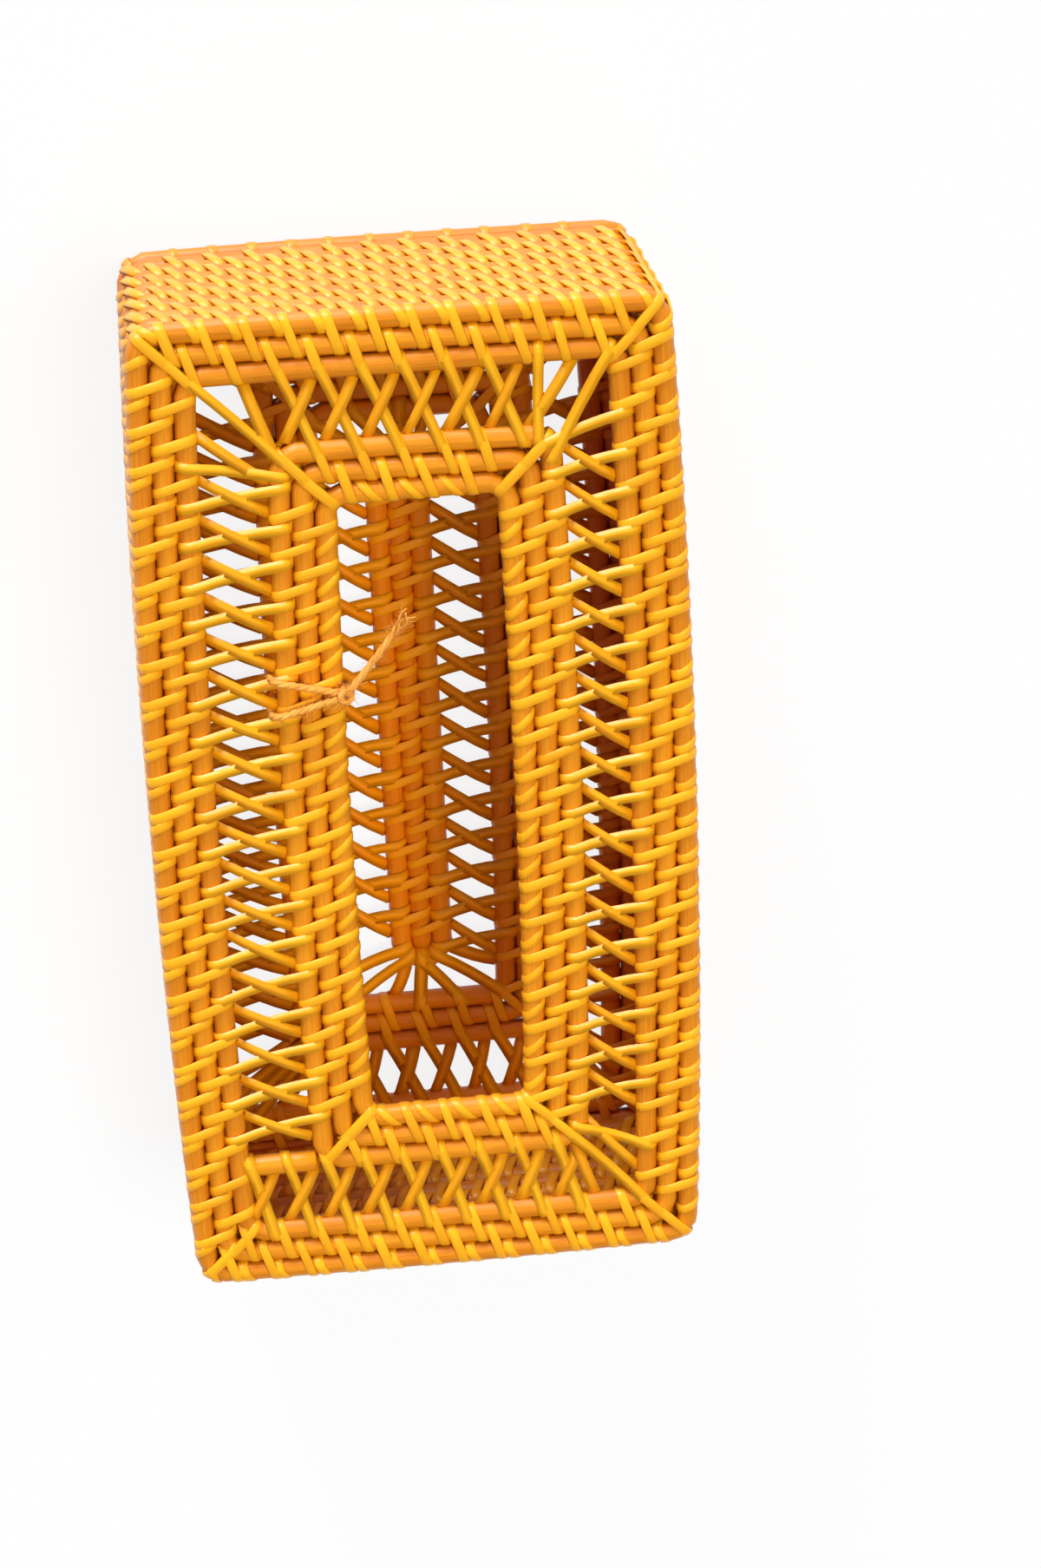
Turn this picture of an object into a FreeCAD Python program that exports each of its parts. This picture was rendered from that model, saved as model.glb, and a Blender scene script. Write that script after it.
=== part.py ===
import FreeCAD, Part
import math
import os

import Sketcher
from FreeCAD import Placement, Rotation, Vector

# A woven cane tissue box cover: round cane rods bent into rectangular hoops, sewn row by row with split cane.
# X runs across the box, Y along it and Z up. The origin is under the middle of the box, on the floor.

# Driving sizes in millimetres
SIZES = (
    ("cover_length", 252.0),
    ("cover_width", 134.0),
    ("long_side_bow", 3.1),
    ("end_bow", 0.6),
    ("corner_radius", 4.5),
    ("rod_diameter", 4.4),
    ("lacing_width", 1.8),
    ("cross_strand_width", 1.6),
    ("lacing_thickness", 0.7),
    ("lacing_clearance", 0.15),
    ("stitch_pitch", 9.3),
    ("slot_width", 39.8),
    ("end_ring_gap", 19.5),
    ("slot_offset_across", 2.0),
    ("slot_offset_along", -0.7),
    ("heart_end_gap", 12.55),
    ("heart_bow", 0.05),
    ("seam_clearance", 0.3),
    ("hinge_clearance", 0.2),
    ("hinge_loop_thickness", 0.6),
    ("hinge_loop_width", 2.4),
    ("twine_diameter", 1.6),
    ("twine_knot_diameter", 3.6),
    ("twine_tail_diameter", 1.3),
)

# How many rods and stitches there are
WALL_ROWS = 11
BAND_RODS = 3
BASE_STITCH_STEP = 2
WALL_STITCH_STEP = 2
HINGE_BAYS = (-3, 2)
TWINE_STITCH = -3

# Slants of the lacing: run along the rods for each unit across them
STITCH_SLANT_SHARE = 0.3
CROSS_FRONT_SLANT_SHARE = 0.195
HEART_CORNER_SHARE = 0.75
ROD_COVER_SHARE = 0.9
ROW_ADVANCE_SHARE = 0.13
EDGE_ADVANCE_SHARE = 0.26
HINGE_SIDE_SHARE = 0.5

# Route of the free twine end from the knot, as steps in millimetres
TWINE_TAIL_ROUTE = ((0.0, 0.0, 0.0), (4.4, 5.7, 1.8), (9.9, 13.5, 3.3), (14.7, 19.7, 4.0))
OCTAGON_CORNER_SHARE = 1 / math.cos(math.pi / 8)
KNOT_RISE_SHARE = 0.7
KNOT_LEAN = math.radians(31)
TAIL_RUN_SHARE = 0.45
TAIL_START_SHARE = 0.58

UP = Vector(0, 0, 1)
ALONG = Vector(0, 1, 0)

doc = FreeCAD.newDocument("tissue_box_cover")
sheet = doc.addObject("Spreadsheet::Sheet", "Sizes")
for row, (alias, number) in enumerate(SIZES, start=1):
    sheet.set(f"A{row}", alias)
    sheet.set(f"B{row}", str(number))
    sheet.setAlias(f"B{row}", alias)
doc.recompute()


class Size:
    """A length that carries its number and the sheet expression that gives it."""

    def __init__(self, text, number):
        self.text = text
        self.number = number

    def joined(self, sign, other, number):
        text = other.text if isinstance(other, Size) else str(other)
        return Size(f"({self.text} {sign} {text})", number)

    def __add__(self, other):
        return self.joined("+", other, self.number + plain(other))

    def __sub__(self, other):
        return self.joined("-", other, self.number - plain(other))

    def __mul__(self, other):
        return self.joined("*", other, self.number * plain(other))

    def __truediv__(self, other):
        return self.joined("/", other, self.number / plain(other))

    def __neg__(self):
        return self * -1


def plain(value):
    """The number of a size, or the number itself."""
    return value.number if isinstance(value, Size) else value


size = {alias: Size(f"Sizes.{alias}", getattr(sheet, alias)) for alias, _ in SIZES}

# Sizes that follow from the driving ones
zero = size["rod_diameter"] * 0
rod_radius = size["rod_diameter"] / 2
seat = rod_radius + size["lacing_clearance"]
skin = seat + size["lacing_thickness"]
pitch = size["rod_diameter"] + size["lacing_thickness"] + size["lacing_clearance"] * 2
seam = skin * 2 + size["seam_clearance"]
edge_half_width = size["cover_width"] / 2 - skin
edge_half_length = size["cover_length"] / 2 - skin
long_side_radius = size["cover_length"] * size["cover_length"] / 8 / size["long_side_bow"] - skin
end_radius = size["cover_width"] * size["cover_width"] / 8 / size["end_bow"] - skin
base_level = skin
wall_foot_level = base_level + seam
top_level = wall_foot_level + pitch * WALL_ROWS
cover_height = top_level + skin


class Ring:
    """The centre line of one rod: a rectangle with bowed sides and round corners, at one level."""

    def __init__(self, half_width, half_length, level, across=zero, along=zero):
        self.half_width = half_width
        self.half_length = half_length
        self.level = level
        self.across = across
        self.along = along
        self.corner = size["corner_radius"]
        self.long_radius = long_side_radius - edge_half_width + half_width
        self.short_radius = end_radius - edge_half_length + half_length

    def reach(self, side):
        """Distance from the middle to the crown of a side."""
        return self.half_width if side in (0, 2) else self.half_length

    def bend(self, side):
        """Radius of a side's bow."""
        return self.long_radius if side in (0, 2) else self.short_radius

    def run(self, side):
        """Half the length of a side between its corners."""
        across = self.half_length if side in (0, 2) else self.half_width
        return across.number - self.corner.number

    def sag(self, along):
        """How far a long side has come in from its crown at a distance along it."""
        return along * along / 2 / self.long_radius

    def offset(self, side):
        """How far the ring is moved outwards on a side: 0 is +X, 1 is +Y, 2 is -X and 3 is -Y."""
        shift = (self.across, self.along)[side % 2].number
        return shift if side < 2 else -shift

    def corner_centre(self):
        """Centre of the first corner's arc, which touches the long and the short side's arcs."""
        long_centre = Vector(self.half_width.number - self.long_radius.number, 0, 0)
        short_centre = Vector(0, self.half_length.number - self.short_radius.number, 0)
        to_long = self.long_radius.number - self.corner.number
        to_short = self.short_radius.number - self.corner.number
        base = short_centre - long_centre
        distance = base.Length
        foot = (to_long**2 - to_short**2 + distance**2) / (2 * distance)
        height = math.sqrt(to_long**2 - foot**2)
        base.normalize()
        return long_centre + base * foot + Vector(-base.y, base.x, 0) * height


def edge_ring(level, rods_in):
    """A rod of the edge band, counted inwards from the box's edge."""
    inset = pitch * rods_in
    return Ring(edge_half_width - inset, edge_half_length - inset, level)


def slot_ring(level, rods_out):
    """A rod of the slot frame, counted outwards from the slot. The open ring keeps its gap at the ends."""
    band = pitch * (BAND_RODS - 1)
    frame_half_length = edge_half_length - band - size["end_ring_gap"]
    return Ring(
        size["slot_width"] / 2 + skin + pitch * rods_out,
        frame_half_length - band + pitch * rods_out,
        level,
        size["slot_offset_across"],
        size["slot_offset_along"],
    )


def heart_ring(level):
    """The rod that goes once round the base's middle rod, with nearly straight sides."""
    half_length = slot_ring(level, 0).half_length - size["heart_end_gap"]
    ring = Ring(pitch, half_length, level, size["slot_offset_across"], size["slot_offset_along"])
    ring.corner = pitch * HEART_CORNER_SHARE
    ring.long_radius = half_length * half_length / 2 / size["heart_bow"]
    return ring


def origin_plane(body, role):
    """One of a body's own origin planes."""
    return next(plane for plane in body.Origin.OriginFeatures if plane.Role == role)


def sketch_in(body, name, role):
    """An empty sketch on one of the body's origin planes."""
    sketch = body.newObject("Sketcher::SketchObject", name)
    sketch.AttachmentSupport = [(origin_plane(body, role), "")]
    sketch.MapMode = "FlatFace"
    return sketch


def bind(sketch, constraint, name, expression):
    """Add a named constraint and tie it to the sheet."""
    index = sketch.addConstraint(constraint)
    sketch.renameConstraint(index, name)
    sketch.setExpression(f"Constraints.{name}", expression)


def bound_circle(sketch, name, centre, radius):
    """A circle whose centre lies on the sketch's horizontal axis, with its place and radius tied to the sheet."""
    circle = sketch.addGeometry(Part.Circle(Vector(centre.number, 0, 0), UP, radius.number), False)
    sketch.addConstraint(Sketcher.Constraint("PointOnObject", circle, 3, -1))
    bind(sketch, Sketcher.Constraint("DistanceX", -1, 1, circle, 3, centre.number), f"{name}_place", centre.text)
    bind(sketch, Sketcher.Constraint("Radius", circle, radius.number), f"{name}_radius", radius.text)


def pipe_along(body, path, section):
    """Carry a section along a path sketch as the body's solid."""
    pipe = body.newObject("PartDesign::AdditivePipe", f"{body.Name}_pipe")
    pipe.Profile = section
    pipe.Spine = (path, [])
    return pipe


def ring_sketch(body, ring):
    """The rod's centre line: four bowed sides and four corners, each tangent to the next."""
    sketch = sketch_in(body, f"{body.Name}_path", "XY_Plane")
    corner = ring.corner_centre()
    long_centre = ring.half_width.number - ring.long_radius.number
    short_centre = ring.half_length.number - ring.short_radius.number
    low = math.atan2(corner.y, corner.x - long_centre)
    high = math.atan2(corner.y - short_centre, corner.x)
    turn = math.pi
    arcs = (
        ("long", Vector(long_centre, 0, 0), 0, low),
        ("corner", corner, low, high),
        ("short", Vector(0, short_centre, 0), high, turn - high),
        ("corner", Vector(-corner.x, corner.y, 0), turn - high, turn - low),
        ("long", Vector(-long_centre, 0, 0), turn - low, turn + low),
        ("corner", -corner, turn + low, turn + high),
        ("short", Vector(0, -short_centre, 0), turn + high, 2 * turn - high),
        ("corner", Vector(corner.x, -corner.y, 0), 2 * turn - high, 2 * turn - low),
        ("long", Vector(long_centre, 0, 0), 2 * turn - low, 2 * turn),
    )
    radii = {"long": ring.long_radius, "short": ring.short_radius, "corner": ring.corner}
    edges = []
    for kind, centre, start, end in arcs:
        circle = Part.Circle(centre, UP, radii[kind].number)
        edges.append(sketch.addGeometry(Part.ArcOfCircle(circle, start, end), False))
    for edge, following in zip(edges, edges[1:] + edges[:1]):
        sketch.addConstraint(Sketcher.Constraint("Tangent", edge, 2, following, 1))
    for number, (edge, (kind, _, _, _)) in enumerate(zip(edges[:-1], arcs)):
        radius = Sketcher.Constraint("Radius", edge, radii[kind].number)
        bind(sketch, radius, f"{kind}_radius_{number}", radii[kind].text)
    sides = (
        (0, -1, "DistanceX", ring.half_width - ring.long_radius),
        (2, -2, "DistanceY", ring.half_length - ring.short_radius),
        (4, -1, "DistanceX", ring.long_radius - ring.half_width),
        (6, -2, "DistanceY", ring.short_radius - ring.half_length),
    )
    for side, axis, kind, place in sides:
        sketch.addConstraint(Sketcher.Constraint("PointOnObject", edges[side], 3, axis))
        distance = Sketcher.Constraint(kind, -1, 1, edges[side], 3, place.number)
        bind(sketch, distance, f"centre_{side}", place.text)
    sketch.addConstraint(Sketcher.Constraint("PointOnObject", edges[0], 1, -1))
    return sketch


def place_at(item, across, along, level):
    """Tie an object's place to the sheet."""
    for axis, distance in (("x", across), ("y", along), ("z", level)):
        item.setExpression(f".Placement.Base.{axis}", distance.text)


def ring_rod(label, ring):
    """One round cane rod bent into a closed hoop."""
    body = doc.addObject("PartDesign::Body", label)
    path = ring_sketch(body, ring)
    section = sketch_in(body, f"{label}_section", "XZ_Plane")
    bound_circle(section, "rod", ring.half_width, rod_radius)
    pipe_along(body, path, section)
    place_at(body, ring.across, ring.along, ring.level)
    return body


def straight_rod(label, length, turn, across, along, level):
    """A straight length of cane, turned to lie along X or Y from its start."""
    rod = doc.addObject("Part::Cylinder", label)
    rod.setExpression("Radius", rod_radius.text)
    rod.setExpression("Height", length.text)
    rod.Placement = Placement(Vector(), turn)
    place_at(rod, across, along, level)
    return rod


def octagon_loop(half_span, reach, slant, start):
    """Corners of a stretched octagon round two rods, sheared along the rods."""
    cut = reach * math.tan(math.pi / 8)
    quarter = ((half_span + reach, cut), (half_span + cut, reach))
    corners = list(quarter)
    corners += [(-x, z) for x, z in reversed(quarter)]
    corners += [(-x, -z) for x, z in quarter]
    corners += [(x, -z) for x, z in reversed(quarter)]
    return [Vector(x, slant * x + start, z) for x, z in corners]


def closed_wire(points):
    """A closed polygon."""
    return Part.makePolygon(points + points[:1])


def stitch(span):
    """One lacing stitch: a flat strand wrapped round two rods that lie span apart."""
    width = size["lacing_width"].number
    outer = octagon_loop(span / 2, skin.number, STITCH_SLANT_SHARE, -width / 2)
    inner = octagon_loop(span / 2, seat.number, STITCH_SLANT_SHARE, -width / 2)
    face = Part.makeFace([closed_wire(outer), closed_wire(inner)], "Part::FaceMakerBullseye")
    return face.extrude(ALONG * width)


def strand(reach, slant, under):
    """One crossing strand over or under two rods: a flat bar sheared along the rods."""
    width = size["cross_strand_width"].number
    thickness = size["lacing_thickness"].number
    level = -skin.number if under else seat.number
    ends = [Vector(x, slant * x - width / 2, level) for x in (-reach, reach)]
    edge = Part.makeLine(ends[0], ends[1])
    return edge.extrude(ALONG * width).extrude(UP * thickness)


def compound_node(label, solids):
    """A node made of many separate strands of split cane."""
    node = doc.addObject("Part::Feature", label)
    node.Shape = Part.makeCompound(solids)
    return node


def side_frame(ring, side, reach, run):
    """Where a station lies: on a side, reach from the ring's middle, and run along it from the box's middle."""
    bend = ring.bend(side).number - ring.reach(side).number + reach
    angle = math.asin((run - ring.offset((side + 1) % 4)) / bend)
    outward = reach + bend * (math.cos(angle) - 1) + ring.offset(side)
    turn = Rotation(UP, math.degrees(angle) + 90 * side)
    place = Rotation(UP, 90 * side).multVec(Vector(outward, run, ring.level.number))
    return Placement(place, turn)


def stations(ring, side, limit, phase, step=1):
    """Places along a ring's side, one stitch pitch apart, counter-clockwise and never past the limit."""
    spacing = size["stitch_pitch"].number
    middle = ring.offset((side + 1) % 4)
    most = int(limit / spacing) + 2 * step
    runs = [count * spacing + phase for count in range(-most, most + 1) if count % step == 0]
    return [run for run in runs if abs(run - middle) <= limit]


def placed(shape, placement):
    """A copy of a shape at a station."""
    copy = shape.copy()
    copy.Placement = placement.multiply(copy.Placement)
    return copy


def side_limit(ring, side):
    """How far along a side the lacing goes before its corner."""
    return ring.run(side) - size["stitch_pitch"].number / 2


def wrap_phase(phase):
    """A phase brought within half a stitch pitch of the middle of the side."""
    spacing = size["stitch_pitch"].number
    return (phase + spacing / 2) % spacing - spacing / 2


def panel_row(label, outer, inner, phases, step=1):
    """Stitches that sew two neighbouring rods of a flat panel together."""
    shape = stitch(pitch.number)
    solids = []
    for side in range(4):
        middle = (outer.reach(side).number + inner.reach(side).number) / 2
        for run in stations(inner, side, side_limit(inner, side), phases[side], step):
            solids.append(placed(shape, side_frame(inner, side, middle, run)))
    return compound_node(label, solids)


def next_phases(phases, advance_share=ROW_ADVANCE_SHARE):
    """Phases of the row one rod further on, moved along so that strands in one groove miss each other."""
    shift = advance_share * size["stitch_pitch"].number
    return [wrap_phase(phase + shift) for phase in phases]


def gap_between(outer, inner, side):
    """Distance across the open ring on one side, from rod to rod."""
    inner_reach = inner.reach(side).number + inner.offset(side)
    return outer.reach(side).number + outer.offset(side) - inner_reach


def cross_phases(phases, outer, inner):
    """Phases of the crossings in an open ring: a quarter pitch beside the last row's stitches."""
    lead = STITCH_SLANT_SHARE * pitch.number / 2 + size["stitch_pitch"].number / 4
    spans = [gap_between(outer, inner, side) for side in range(4)]
    return [wrap_phase(phase - lead - CROSS_FRONT_SLANT_SHARE * span / 2) for phase, span in zip(phases, spans)]


def after_cross_phases(phases, outer, inner):
    """Phases of the first row inside an open ring."""
    lead = STITCH_SLANT_SHARE * pitch.number / 2 + size["stitch_pitch"].number / 4
    spans = [gap_between(outer, inner, side) for side in range(4)]
    return [wrap_phase(phase - CROSS_FRONT_SLANT_SHARE * span / 2 - lead) for phase, span in zip(phases, spans)]


def cross_row(label, outer, inner, phases):
    """Crossed strands over an open ring: one over both rods and one under both in each crossing."""
    solids = []
    for side in range(4):
        span = gap_between(outer, inner, side)
        back_slant = size["stitch_pitch"].number / span - CROSS_FRONT_SLANT_SHARE
        front = strand(span / 2 + rod_radius.number * ROD_COVER_SHARE, CROSS_FRONT_SLANT_SHARE, False)
        back = strand(span / 2, -back_slant, True)
        middle = inner.reach(side).number + span / 2
        limit = side_limit(inner, side) - size["stitch_pitch"].number / 2
        for run in stations(inner, side, limit, phases[side]):
            frame = side_frame(inner, side, middle, run)
            solids += [placed(front, frame), placed(back, frame)]
    return compound_node(label, solids)


def wall_row(label, lower, phases):
    """Stitches that sew a wall rod to the rod above it."""
    upright = Placement(UP * (pitch.number / 2), Rotation(ALONG, 90))
    shape = stitch(pitch.number)
    shape.Placement = upright.multiply(shape.Placement)
    solids = []
    for side in range(4):
        reach = lower.reach(side).number
        for run in stations(lower, side, side_limit(lower, side), phases[side], WALL_STITCH_STEP):
            solids.append(placed(shape, side_frame(lower, side, reach, run)))
    return compound_node(label, solids)


def stadium_wire(drop, radius):
    """A round-ended loop in the XZ plane: one end about the origin and the other straight below it."""
    left = Vector(-radius, 0, 0)
    right = Vector(radius, 0, 0)
    fall = UP * -drop
    over = Part.Arc(left, UP * radius, right).toShape()
    down = Part.makeLine(right, right + fall)
    under = Part.Arc(right + fall, fall - UP * radius, left + fall).toShape()
    back = Part.makeLine(left + fall, left)
    return Part.Wire([over, down, under, back])


def hinge_loops(label, foot, side, bays):
    """Cane loops on the base's edge rod that turn on the wall's foot rod."""
    bore = rod_radius.number + size["hinge_clearance"].number
    outside = bore + size["hinge_loop_thickness"].number
    width = size["hinge_loop_width"].number
    wires = [stadium_wire(seam.number, outside), stadium_wire(seam.number, bore)]
    loop = Part.makeFace(wires, "Part::FaceMakerBullseye").extrude(ALONG * width)
    loop.translate(ALONG * (-width / 2))
    spacing = size["stitch_pitch"].number
    solids = []
    for bay in bays:
        run = (bay + 1 / 2) * WALL_STITCH_STEP * spacing
        axis_point = side_frame(foot, side, foot.reach(side).number, run).Base
        solids.append(placed(loop, Placement(axis_point, Rotation())))
    print("hinge axis through", tuple(round(part, 3) for part in axis_point))
    return compound_node(label, solids)


def twine_tie(label, run, first, last):
    """A twine loop round the slot frame's left stile, with its knot on the shoulder of the slot's edge rod."""
    body = doc.addObject("PartDesign::Body", label)
    radius = skin * OCTAGON_CORNER_SHARE + size["lacing_clearance"] + size["twine_diameter"] / 2
    span = first.half_width - last.half_width
    path = sketch_in(body, f"{label}_path", "XZ_Plane")
    half_turn = math.pi / 2
    ends = (
        (Vector(-span.number, 0, 0), half_turn, 3 * half_turn),
        (Vector(0, 0, 0), -half_turn, half_turn),
    )
    arcs = []
    for centre, start, end in ends:
        circle = Part.Circle(centre, UP, radius.number)
        arcs.append(path.addGeometry(Part.ArcOfCircle(circle, start, end), False))
    over = Part.LineSegment(Vector(0, radius.number, 0), Vector(-span.number, radius.number, 0))
    under = Part.LineSegment(Vector(-span.number, -radius.number, 0), Vector(0, -radius.number, 0))
    lines = [path.addGeometry(line, False) for line in (over, under)]
    joins = ((arcs[1], lines[0]), (lines[0], arcs[0]), (arcs[0], lines[1]), (lines[1], arcs[1]))
    for before, after in joins:
        path.addConstraint(Sketcher.Constraint("Tangent", before, 2, after, 1))
    path.addConstraint(Sketcher.Constraint("Coincident", arcs[1], 3, -1, 1))
    path.addConstraint(Sketcher.Constraint("PointOnObject", arcs[0], 3, -1))
    path.addConstraint(Sketcher.Constraint("Horizontal", lines[0]))
    bind(path, Sketcher.Constraint("DistanceX", arcs[0], 3, -1, 1, span.number), "span", span.text)
    bind(path, Sketcher.Constraint("Radius", arcs[1], radius.number), "radius", radius.text)
    section = sketch_in(body, f"{label}_section", "YZ_Plane")
    twine = size["twine_diameter"]
    circle = section.addGeometry(Part.Circle(Vector(0, radius.number, 0), UP, twine.number / 2), False)
    section.addConstraint(Sketcher.Constraint("PointOnObject", circle, 3, -2))
    bind(section, Sketcher.Constraint("DistanceY", -1, 1, circle, 3, radius.number), "place", radius.text)
    bind(section, Sketcher.Constraint("Diameter", circle, twine.number), "twine", twine.text)
    pipe_along(body, path, section)
    knot_radius = size["twine_knot_diameter"] / 2
    knot_reach = radius + knot_radius * KNOT_RISE_SHARE
    knot_across = knot_reach * math.sin(KNOT_LEAN)
    knot_level = knot_reach * math.cos(KNOT_LEAN)
    knot = body.newObject("PartDesign::AdditiveSphere", f"{label}_knot")
    knot.setExpression("Radius", knot_radius.text)
    knot.setExpression(".Placement.Base.x", knot_across.text)
    knot.setExpression(".Placement.Base.z", knot_level.text)
    frame = side_frame(last, 2, last.reach(2).number, run)
    body.Placement = Placement(frame.Base, Rotation())
    return frame.Base + Vector(knot_across.number, 0, knot_level.number)


def tail_wire(points):
    """Straight runs joined by arcs that are as large as the shorter of their two runs allows."""
    edges = []
    start = points[0]
    for before, corner, after in zip(points, points[1:], points[2:]):
        back = (before - corner).normalize()
        forth = (after - corner).normalize()
        trim = TAIL_RUN_SHARE * min((before - corner).Length, (after - corner).Length)
        turn = math.pi - back.getAngle(forth)
        print("tail bend radius", round(trim / math.tan(turn / 2), 1))
        inward = (back + forth).normalize()
        radius = trim / math.tan(turn / 2)
        middle = corner + inward * (radius / math.cos(turn / 2) - radius)
        edges.append(Part.makeLine(start, corner + back * trim))
        edges.append(Part.Arc(corner + back * trim, middle, corner + forth * trim).toShape())
        start = corner + forth * trim
    edges.append(Part.makeLine(start, points[-1]))
    return Part.Wire(edges)


def twine_tail(label, knot):
    """The free end of the twine, a stiff stub that leans over the slot from the knot."""
    steps = [Vector(*step) for step in TWINE_TAIL_ROUTE]
    leaving = (steps[1] - steps[0]).normalize()
    start = leaving * (size["twine_knot_diameter"].number * TAIL_START_SHARE)
    wire = tail_wire([step + start for step in steps])
    radius = size["twine_tail_diameter"].number / 2
    section = Part.Wire([Part.makeCircle(radius, start, leaving)])
    tube = wire.makePipeShell([section], True, False)
    print("tail volume over section times length", round(tube.Volume / (math.pi * radius**2 * wire.Length), 4))
    node = doc.addObject("Part::Feature", label)
    node.Shape = tube
    node.Placement = Placement(knot, Rotation())
    return node


# Top panel: the edge band, the open ring and the slot frame
top_edge = [edge_ring(top_level, count) for count in range(BAND_RODS)]
top_slot = [slot_ring(top_level, count) for count in reversed(range(BAND_RODS))]
ring_rod("top_edge_rod", top_edge[0])
ring_rod("top_second_rod", top_edge[1])
ring_rod("top_third_rod", top_edge[2])
ring_rod("slot_frame_outer_rod", top_slot[0])
ring_rod("slot_frame_middle_rod", top_slot[1])
ring_rod("slot_edge_rod", top_slot[2])

# A short rod across the open ring, from the edge band to the slot frame's lower left corner
bridge_along = size["slot_offset_along"] - top_slot[0].half_length
bridge_start = top_edge[2].sag(bridge_along) - top_edge[2].half_width + rod_radius + size["lacing_clearance"]
bridge_end = top_slot[0].sag(top_slot[0].half_length) + top_slot[0].across - top_slot[0].half_width - rod_radius
straight_rod("corner_bridge_rod", bridge_end - bridge_start, Rotation(ALONG, 90), bridge_start, bridge_along,
             top_level)

# Walls: one rod above the other, from the foot up
walls = [Ring(edge_half_width, edge_half_length, wall_foot_level + pitch * count) for count in range(WALL_ROWS)]
for count, ring in enumerate(walls, start=1):
    ring_rod(f"wall_rod_{count:02d}", ring)

# Base panel: the edge band, two open rings with the middle band between them, and the heart
base_edge = [edge_ring(base_level, count) for count in range(BAND_RODS)]
base_middle = [slot_ring(base_level, count) for count in reversed(range(BAND_RODS))]
heart = heart_ring(base_level)
ring_rod("base_edge_rod", base_edge[0])
ring_rod("base_second_rod", base_edge[1])
ring_rod("base_third_rod", base_edge[2])
ring_rod("base_middle_outer_rod", base_middle[0])
ring_rod("base_middle_rod", base_middle[1])
ring_rod("base_middle_inner_rod", base_middle[2])
ring_rod("base_heart_ring", heart)
heart_half = heart.half_length - pitch + rod_radius
straight_rod("base_heart_rod", heart_half * 2, Rotation(Vector(1, 0, 0), -90), heart.across,
             heart.along - heart_half, base_level)

# Lacing of the walls, from the foot up
wall_phases = [[0.0] * 4]
for count, ring in enumerate(walls, start=1):
    wall_row(f"wall_lacing_{count:02d}", ring, wall_phases[-1])
    wall_phases.append(next_phases(wall_phases[-1]))

# Lacing of the top panel goes on from the walls, with a longer step over the edge
edge_phases = next_phases(wall_phases[-2], EDGE_ADVANCE_SHARE)
second_phases = next_phases(edge_phases)
ring_phases = cross_phases(second_phases, top_edge[2], top_slot[0])
frame_phases = after_cross_phases(ring_phases, top_edge[2], top_slot[0])
panel_row("top_edge_lacing", top_edge[0], top_edge[1], edge_phases)
panel_row("top_second_lacing", top_edge[1], top_edge[2], second_phases)
cross_row("top_cross_lacing", top_edge[2], top_slot[0], ring_phases)
panel_row("slot_frame_lacing", top_slot[0], top_slot[1], frame_phases)
panel_row("slot_edge_lacing", top_slot[1], top_slot[2], next_phases(frame_phases))


def base_phases(edge):
    """Phases of every row of the base, worked inwards from its edge row."""
    second = next_phases(edge)
    outer_cross = cross_phases(second, base_edge[2], base_middle[0])
    middle = after_cross_phases(outer_cross, base_edge[2], base_middle[0])
    inner = next_phases(middle)
    inner_cross = cross_phases(inner, base_middle[2], heart)
    last = after_cross_phases(inner_cross, base_middle[2], heart)
    return edge, second, outer_cross, middle, inner, inner_cross, last


# Lacing of the base panel: on the hinged side it passes between the wall's stitches as the base turns, and
# its left side is moved along so that both rows on the heart rod alternate
base_start = [HINGE_SIDE_SHARE * size["stitch_pitch"].number, 0.0, 0.0, 0.0]
trial = base_phases(base_start)[-1]
lean = STITCH_SLANT_SHARE * pitch.number
base_start[2] = lean - trial[0] - trial[2]
base_rows = base_phases(base_start)
panel_row("base_edge_lacing", base_edge[0], base_edge[1], base_rows[0], BASE_STITCH_STEP)
panel_row("base_second_lacing", base_edge[1], base_edge[2], base_rows[1], BASE_STITCH_STEP)
cross_row("base_outer_cross_lacing", base_edge[2], base_middle[0], base_rows[2])
panel_row("base_middle_lacing", base_middle[0], base_middle[1], base_rows[3], BASE_STITCH_STEP)
panel_row("base_inner_lacing", base_middle[1], base_middle[2], base_rows[4], BASE_STITCH_STEP)
cross_row("base_inner_cross_lacing", base_middle[2], heart, base_rows[5])

# Lacing of the heart: its ring is sewn to its rod from both long sides in turn
heart_limit = side_limit(heart, 0)
right_runs = stations(heart, 0, heart_limit, base_rows[6][0], BASE_STITCH_STEP)
half_step = BASE_STITCH_STEP * size["stitch_pitch"].number / 2
left_runs = [lean - run - half_step for run in right_runs]
left_runs = [run for run in left_runs if abs(run - heart.offset(3)) <= heart_limit]
heart_stitch = stitch(pitch.number)
heart_solids = []
for heart_side, heart_runs in ((0, right_runs), (2, left_runs)):
    for heart_run in heart_runs:
        heart_frame = side_frame(heart, heart_side, pitch.number / 2, heart_run)
        heart_solids.append(placed(heart_stitch, heart_frame))
compound_node("base_heart_lacing", heart_solids)

# The base hangs on loops along the right-hand wall's foot
hinge_loops("base_hinge_loops", walls[0], 0, HINGE_BAYS)

# The twine tied round the slot frame, with one free end
twine_run = TWINE_STITCH * size["stitch_pitch"].number + frame_phases[2]
knot_place = twine_tie("twine_tie", twine_run, top_slot[0], top_slot[2])
twine_tail("twine_tail", knot_place)

doc.recompute()
print("cover height", round(cover_height.number, 2), "rod pitch", round(pitch.number, 2))

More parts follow.
